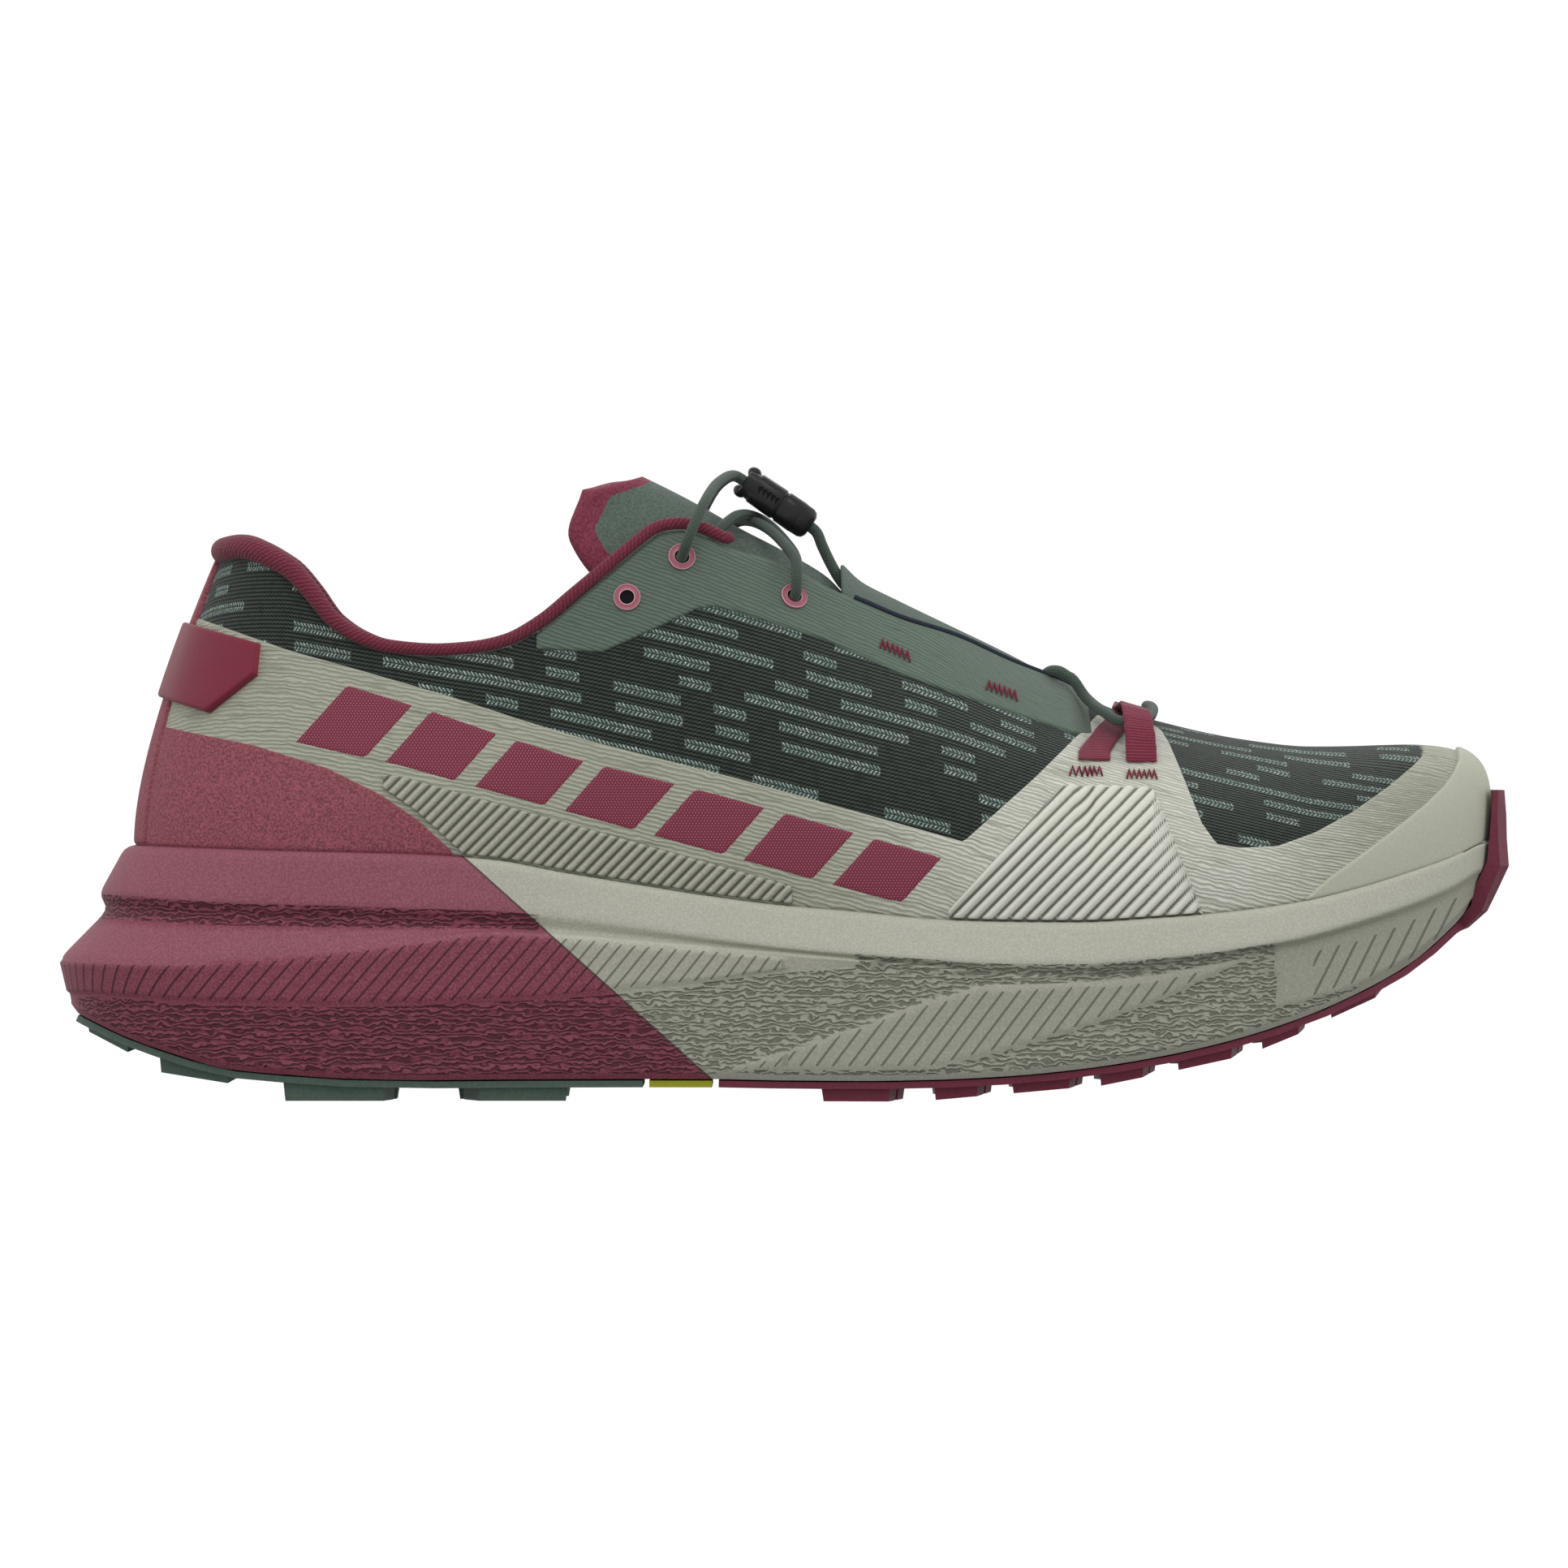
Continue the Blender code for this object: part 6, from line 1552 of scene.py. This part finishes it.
def loft(name, sections, placed, look):
    """Body of rounded rectangles in line: for each its place along, half height and half width."""
    angles = np.linspace(0, 2 * math.pi, LOCK_STEPS, endpoint=False)
    round_y = np.sign(np.cos(angles)) * np.abs(np.cos(angles)) ** 0.5
    round_z = np.sign(np.sin(angles)) * np.abs(np.sin(angles)) ** 0.6
    rings = []
    for at, tall, wide in sections:
        rings.append([placed @ Vector((at, y, z)) for y, z in zip(round_y * wide, round_z * tall)])
    points = np.array([p[:] for ring in rings for p in ring])
    faces = grid_faces(len(sections), LOCK_STEPS, closed=True)
    faces.append(tuple(range(LOCK_STEPS))[::-1])
    faces.append(tuple(range(len(points) - LOCK_STEPS, len(points))))
    made = mesh_object(name, points, outward_faces(points, faces, points.mean(0)), look)
    bevel = made.modifiers.new("edges", "EDGE_SPLIT")
    bevel.split_angle = math.radians(38)
    return made


def build_toggle():
    """Cord lock: a body with two ears at its rear, a collar, small notches painted as dark triangles of shade,
    and its end cap.
    """
    rear, front = (
        Vector((station * LENGTH - HEEL_REST_X, 0, height * COLLAR_HEIGHT))
        for station, height in (TOGGLE_REAR, TOGGLE_FRONT)
    )
    along = (front - rear).normalized()
    placed = Matrix.Translation(rear) @ along.to_track_quat("X", "Z").to_matrix().to_4x4()
    tall, wide = TOGGLE_THICK / 2, TOGGLE_WIDTH / 2
    lock = []
    for name, node, start, length, sections in (
        ("lock_body", "toggle_body", 0.0, TOGGLE_LENGTH, LOCK_BODY),
        ("lock_cap", "toggle_end", TOGGLE_LENGTH + 0.00002, TOGGLE_CAP, LOCK_CAP),
    ):
        sized = [(start + a * length, h * tall, w * wide) for a, h, w in sections]
        made = loft(name, sized, placed, LOOKS["black"])
        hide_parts(node)
        lock.append(made)
    angles = np.linspace(math.pi - 0.15, 0.15, 9)
    for number, (at, height) in enumerate(((0.0008, 0.72), (0.0004, -0.66)), 1):
        ear = [(at + 0.0014 * math.cos(a), 0.0012 * math.sin(a), 0.0026 * math.sin(a)) for a in angles]
        lifted = placed @ Matrix.Translation((0, 0, height * tall))
        lock.append(loft(f"lock_ear_{number}", ear, lifted, LOOKS["black"]))
    # notches: flat dark triangles of painted shade on both flanks
    for k in range(5):
        middle = TOGGLE_LENGTH * (0.27 + 0.078 * k)
        for flank in (-1, 1):
            points = [(placed @ Vector((middle + x, flank * (wide + 0.00003), z)))[:] for x, z in NOTCH]
            mesh_object(f"lock_notch_{k + 1}_{flank + 1}", points, [(0, 1, 2)], LOOKS["hole"], smooth=False)
    return lock


def zone(z, top, bottom, soft=0.00035):
    """1 between two heights, fading over a short way at each."""
    return np.clip((top - z) / soft, 0, 1) * np.clip((z - bottom) / soft, 0, 1)


def build_midsole():
    """Both foams in one skin: rows of points between the lines round the sole, with the side's pattern."""
    share = np.interp(np.linspace(0, 1, SOLE_STEPS + 1), np.linspace(0, 1, len(FINE)), FINE)
    even = np.linspace(0, 1, SOLE_STEPS + 1)
    share = np.unique(np.round(np.concatenate([share[::2], even[1::2]]), 6))
    loop = [(OUTER, s) for s in share] + [(INNER, s) for s in share[-2:0:-1]]
    rails = {name: np.array([rail_point(name, s, side) for side, s in loop]) for name in RAILS}
    names = list(RAILS)
    rows = []
    row_of = {}
    for name, following in zip(names, names[1:]):
        row_of[name] = len(rows)
        a, b = rails[name], rails[following]
        rows += [a + (b - a) * step / WALL_ROWS[name] for step in range(WALL_ROWS[name])]
    rows = np.array(rows + [rails[names[-1]]])
    for _ in range(2):
        softened = rows.copy()
        softened[1:-1] = rows[1:-1] * 0.5 + (rows[:-2] + rows[2:]) * 0.25
        moved = np.linalg.norm(rows - softened, axis=2, keepdims=True)
        rows = np.where(moved < SOFTEN_LIMIT, softened, rows)
    x, z = rows[..., 0] + HEEL_REST_X, rows[..., 2]
    station = x / LENGTH
    level = np.arange(len(rows))[:, None] + x * 0
    band_line, flare_line = side_height("band", x), side_height("flare", x)
    below_lip = level > row_of["lip"]
    above_edge = level < row_of["edge"] + 1

    def rise(value, over):
        """0 up to a value of 0, then rising to 1 over a short way."""
        return np.clip(value / over, 0, 1)

    def within(zones, name):
        start, end = zones[name]
        return (station > start) & (station < end)

    top, bottom = band_height(MIDDLE_BAND_TOP, x), band_height(MIDDLE_BAND_BOTTOM, x)
    toe_top, toe_bottom = band_height(TOE_BAND_TOP, x), band_height(TOE_BAND_BOTTOM, x)
    heel_band = zone(z, flare_line - SLOT_END, band_line + SLOT_END) * within(SLOTTED, "heel")
    middle_band = zone(z, top - SLOT_END, bottom + SLOT_END) * within(SLOTTED, "middle")
    toe_band = zone(z, toe_top - SLOT_END, toe_bottom + SLOT_END) * within(SLOTTED, "toe")
    bands = np.maximum(np.maximum(heel_band, middle_band), toe_band) * below_lip
    middle_face = zone(z, top + 0.0001, bottom - 0.0001) * within(PLAIN, "middle")
    toe_face = rise(z - toe_bottom + 0.0002, 0.0003) * within(PLAIN, "toe")
    cracked = rise(band_line - z, CRACK_FADE) * within(CRACKED, "heel")
    cracked = np.maximum(cracked, rise(bottom - z, CRACK_FADE) * within(CRACKED, "below the middle band"))
    above = rise(z - top, CRACK_FADE) * within(CRACKED, "above the middle band") * (z < band_line)
    under_lip = rise(z - top - 0.0002, 0.0004) * within(CRACKED, "under the lip")
    cracked = np.maximum(np.maximum(cracked, above), under_lip)
    cracked *= (1 - middle_face) * (1 - toe_face)
    cracked *= rise(z - side_height("bottom", x) - SLOT_END, SLOT_END)
    cracked *= rise(x - CRACK_START, 2 * CRACK_START)
    strip = below_lip & (level < row_of["groove"] + 2) & within(CRACKED, "groove")
    cracked = np.maximum(cracked, strip * 1.0) * below_lip * above_edge
    wall = rise(level - row_of["lip"] - 1, 2) * rise(row_of["edge"] - level, 2)
    raised = np.clip(middle_face + heel_band + toe_face, 0, 1)
    away = np.array([outward(s, side) for side, s in loop])[None]
    rows = rows + away * ((raised - 0.5) * BAND_RELIEF * wall)[..., None]
    # painted highlight on the rim rows and the flare, painted shade on the plain faces of the bands
    painted_light = np.where(level <= row_of["lip"], LIT, 0.0)
    painted_light = painted_light - np.clip(middle_face + toe_face * 1.4, 0, 1.4) * below_lip * SHADED
    flare = (level > row_of["groove"] + 2) * (z > flare_line - SLOT_END)
    painted_light = painted_light + flare * within(PLAIN, "flare") * LIT
    reach = distances_round(rails["band"][:, :2], len(share))[None] + x * 0
    lean = np.clip(reach / SLOT_UPRIGHT, 0.25, 1.0)
    ahead = station > SLOTTED["heel"][1]
    middle_slope = np.where(ahead & (z < band_line), math.tan(math.radians(SLOT_ANGLES["middle"])), 1.0)
    slope = np.where(station > SLOT_TOE, math.tan(math.radians(SLOT_ANGLES["toe"])), middle_slope)
    slant = np.where(ahead, x - z / slope, reach - (z - band_line) * lean / slope) * 1000 / SLOT_PITCH
    faces = grid_faces(len(rows), len(loop), closed=True)
    faces = outward_faces(rows, faces, np.array([0.08, 0, 0.02]))
    made = mesh_object(
        "midsole_foam", rows, faces, LOOKS["foam"], {"flow": np.stack([reach, z], axis=-1) * 1000},
        values={"bands": bands, "cracked": cracked, "slant": slant, "painted_light": painted_light},
    )
    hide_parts("midsole_heel", "midsole_forefoot")


def bars():
    """Plain slanted bars woven into the outer side's band."""
    rows, columns = 22, 26
    for number, start in enumerate(np.linspace(BARS_START, BARS_END, BARS + 1)[:-1], 1):
        points, flow = [], []
        for i in range(rows):
            for j in range(columns):
                station = start + BAR_WIDTH * j / (columns - 1)
                top = edge_height(BAND_TOP, (station + 0.040) * LENGTH) / COLLAR_HEIGHT - 0.030
                bottom = edge_height(BAR_BOTTOM, station * LENGTH) / COLLAR_HEIGHT
                rise = (top - bottom) * i / (rows - 1)
                lean = rise * COLLAR_HEIGHT / LENGTH * BAR_LEAN
                p, n, f = SKIN.sample(*SKIN.find(station + lean, bottom + rise, OUTER))
                border = i in (0, rows - 1) or j in (0, columns - 1)
                points.append(p + n * (BAR_LIFT[1] if border else BAR_LIFT[0]))
                flow.append(f)
        faces = outward_faces(points, grid_faces(rows, columns), np.array([0.05, 0.0, 0.06]))
        mesh_object(f"bar_{number}", points, faces, LOOKS["bar"], {"flow": np.array(flow)})


def build_binding():
    """Dark bound edge along both sides of the throat."""
    for word, side in SIDES:
        path = SKIN.sample([SKIN.column(side, s) for s in np.linspace(0.548, 0.700, 40)], SKIN.top)[0]
        path = smooth_path(path + np.array([0, 0, 0.0003]), 0.0012)
        sweep("throat_binding_" + word, path, 0.00055, LOOKS["navy"], sides=10)


def dress_rubber():
    """Looks of the nodes that stay as the solid model has them."""
    for node, look in RUBBER_LOOKS.items():
        for slot in bpy.data.objects[node].material_slots:
            slot.material = LOOKS[look]


build_camera()
build_light()
LOOKS = {
    "mesh": mesh_look(),
    "foam": foam_look(),
    "braid": cord_look(),
    "beige_knit": knit_band_look(),
    "beige_rib": rib_look(),
    "beige_cap": grain_look("beige_cap", srgb(186, 188, 171), 0.55, 0.05),
    "heel_film": grain_look("heel_film", srgb(146, 78, 90), 0.75, 0.38, 2.2, 0.00010),
    "eyestay": line_look("eyestay_weave", srgb(104, 120, 107), srgb(70, 84, 74), 0.85, 0.12, 0.55),
    "tongue": tongue_look(),
    "pocket": line_look("pocket_cloth", srgb(98, 114, 104), srgb(70, 84, 76), 0.6, 0.0, 0.3, layer="flow"),
    "lining": grain_look("lining_cloth", srgb(52, 60, 56), 0.95, 0.2, 1.2, 0.0001),
    "tab": weave_look("tab_tape", srgb(140, 34, 60), srgb(112, 24, 46), 0.45, 0.6, 0.00003),
    "webbing": weave_look("webbing_tape", srgb(150, 52, 76), srgb(92, 24, 42), 0.62),
    "piping": weave_look("piping_knit", srgb(134, 48, 68), srgb(98, 30, 48), 0.95, 0.8, 0.00022, 0.7, 0.9),
    "bar": bar_look(),
    "pink": grain_look("pink_enamel", srgb(168, 92, 108), 0.35, 0.03),
    "painted_lip_highlight": grain_look("painted_lip_highlight", srgb(226, 190, 196), 0.30, 0.03),
    "navy": grain_look("navy_binding", srgb(38, 44, 58), 0.8, 0.1),
    "thread": grain_look("thread", srgb(122, 34, 54), 0.7, 0.1),
    "black": grain_look("black_plastic", srgb(26, 26, 28), 0.35, 0.05),
    "hole": grain_look("painted_recess_shade", srgb(8, 8, 9), 0.9, 0.0),
    "green_rubber": grain_look("green_rubber", srgb(78, 96, 86), 0.7, 0.10, 1.6, 0.00006),
    "burgundy_rubber": grain_look("burgundy_rubber", srgb(112, 40, 60), 0.65, 0.10, 1.6, 0.00006),
    "yellow_rubber": grain_look("yellow_rubber", srgb(160, 160, 30), 0.6, 0.05),
}
SKIN = Skin()
build_cords(build_toggle())
build_front_cord()
build_upper()
build_overlays()
bars()
build_midsole()
build_tongue()
build_piping()
build_binding()
build_eyelets()
build_webbing()
build_stitches()
dress_rubber()
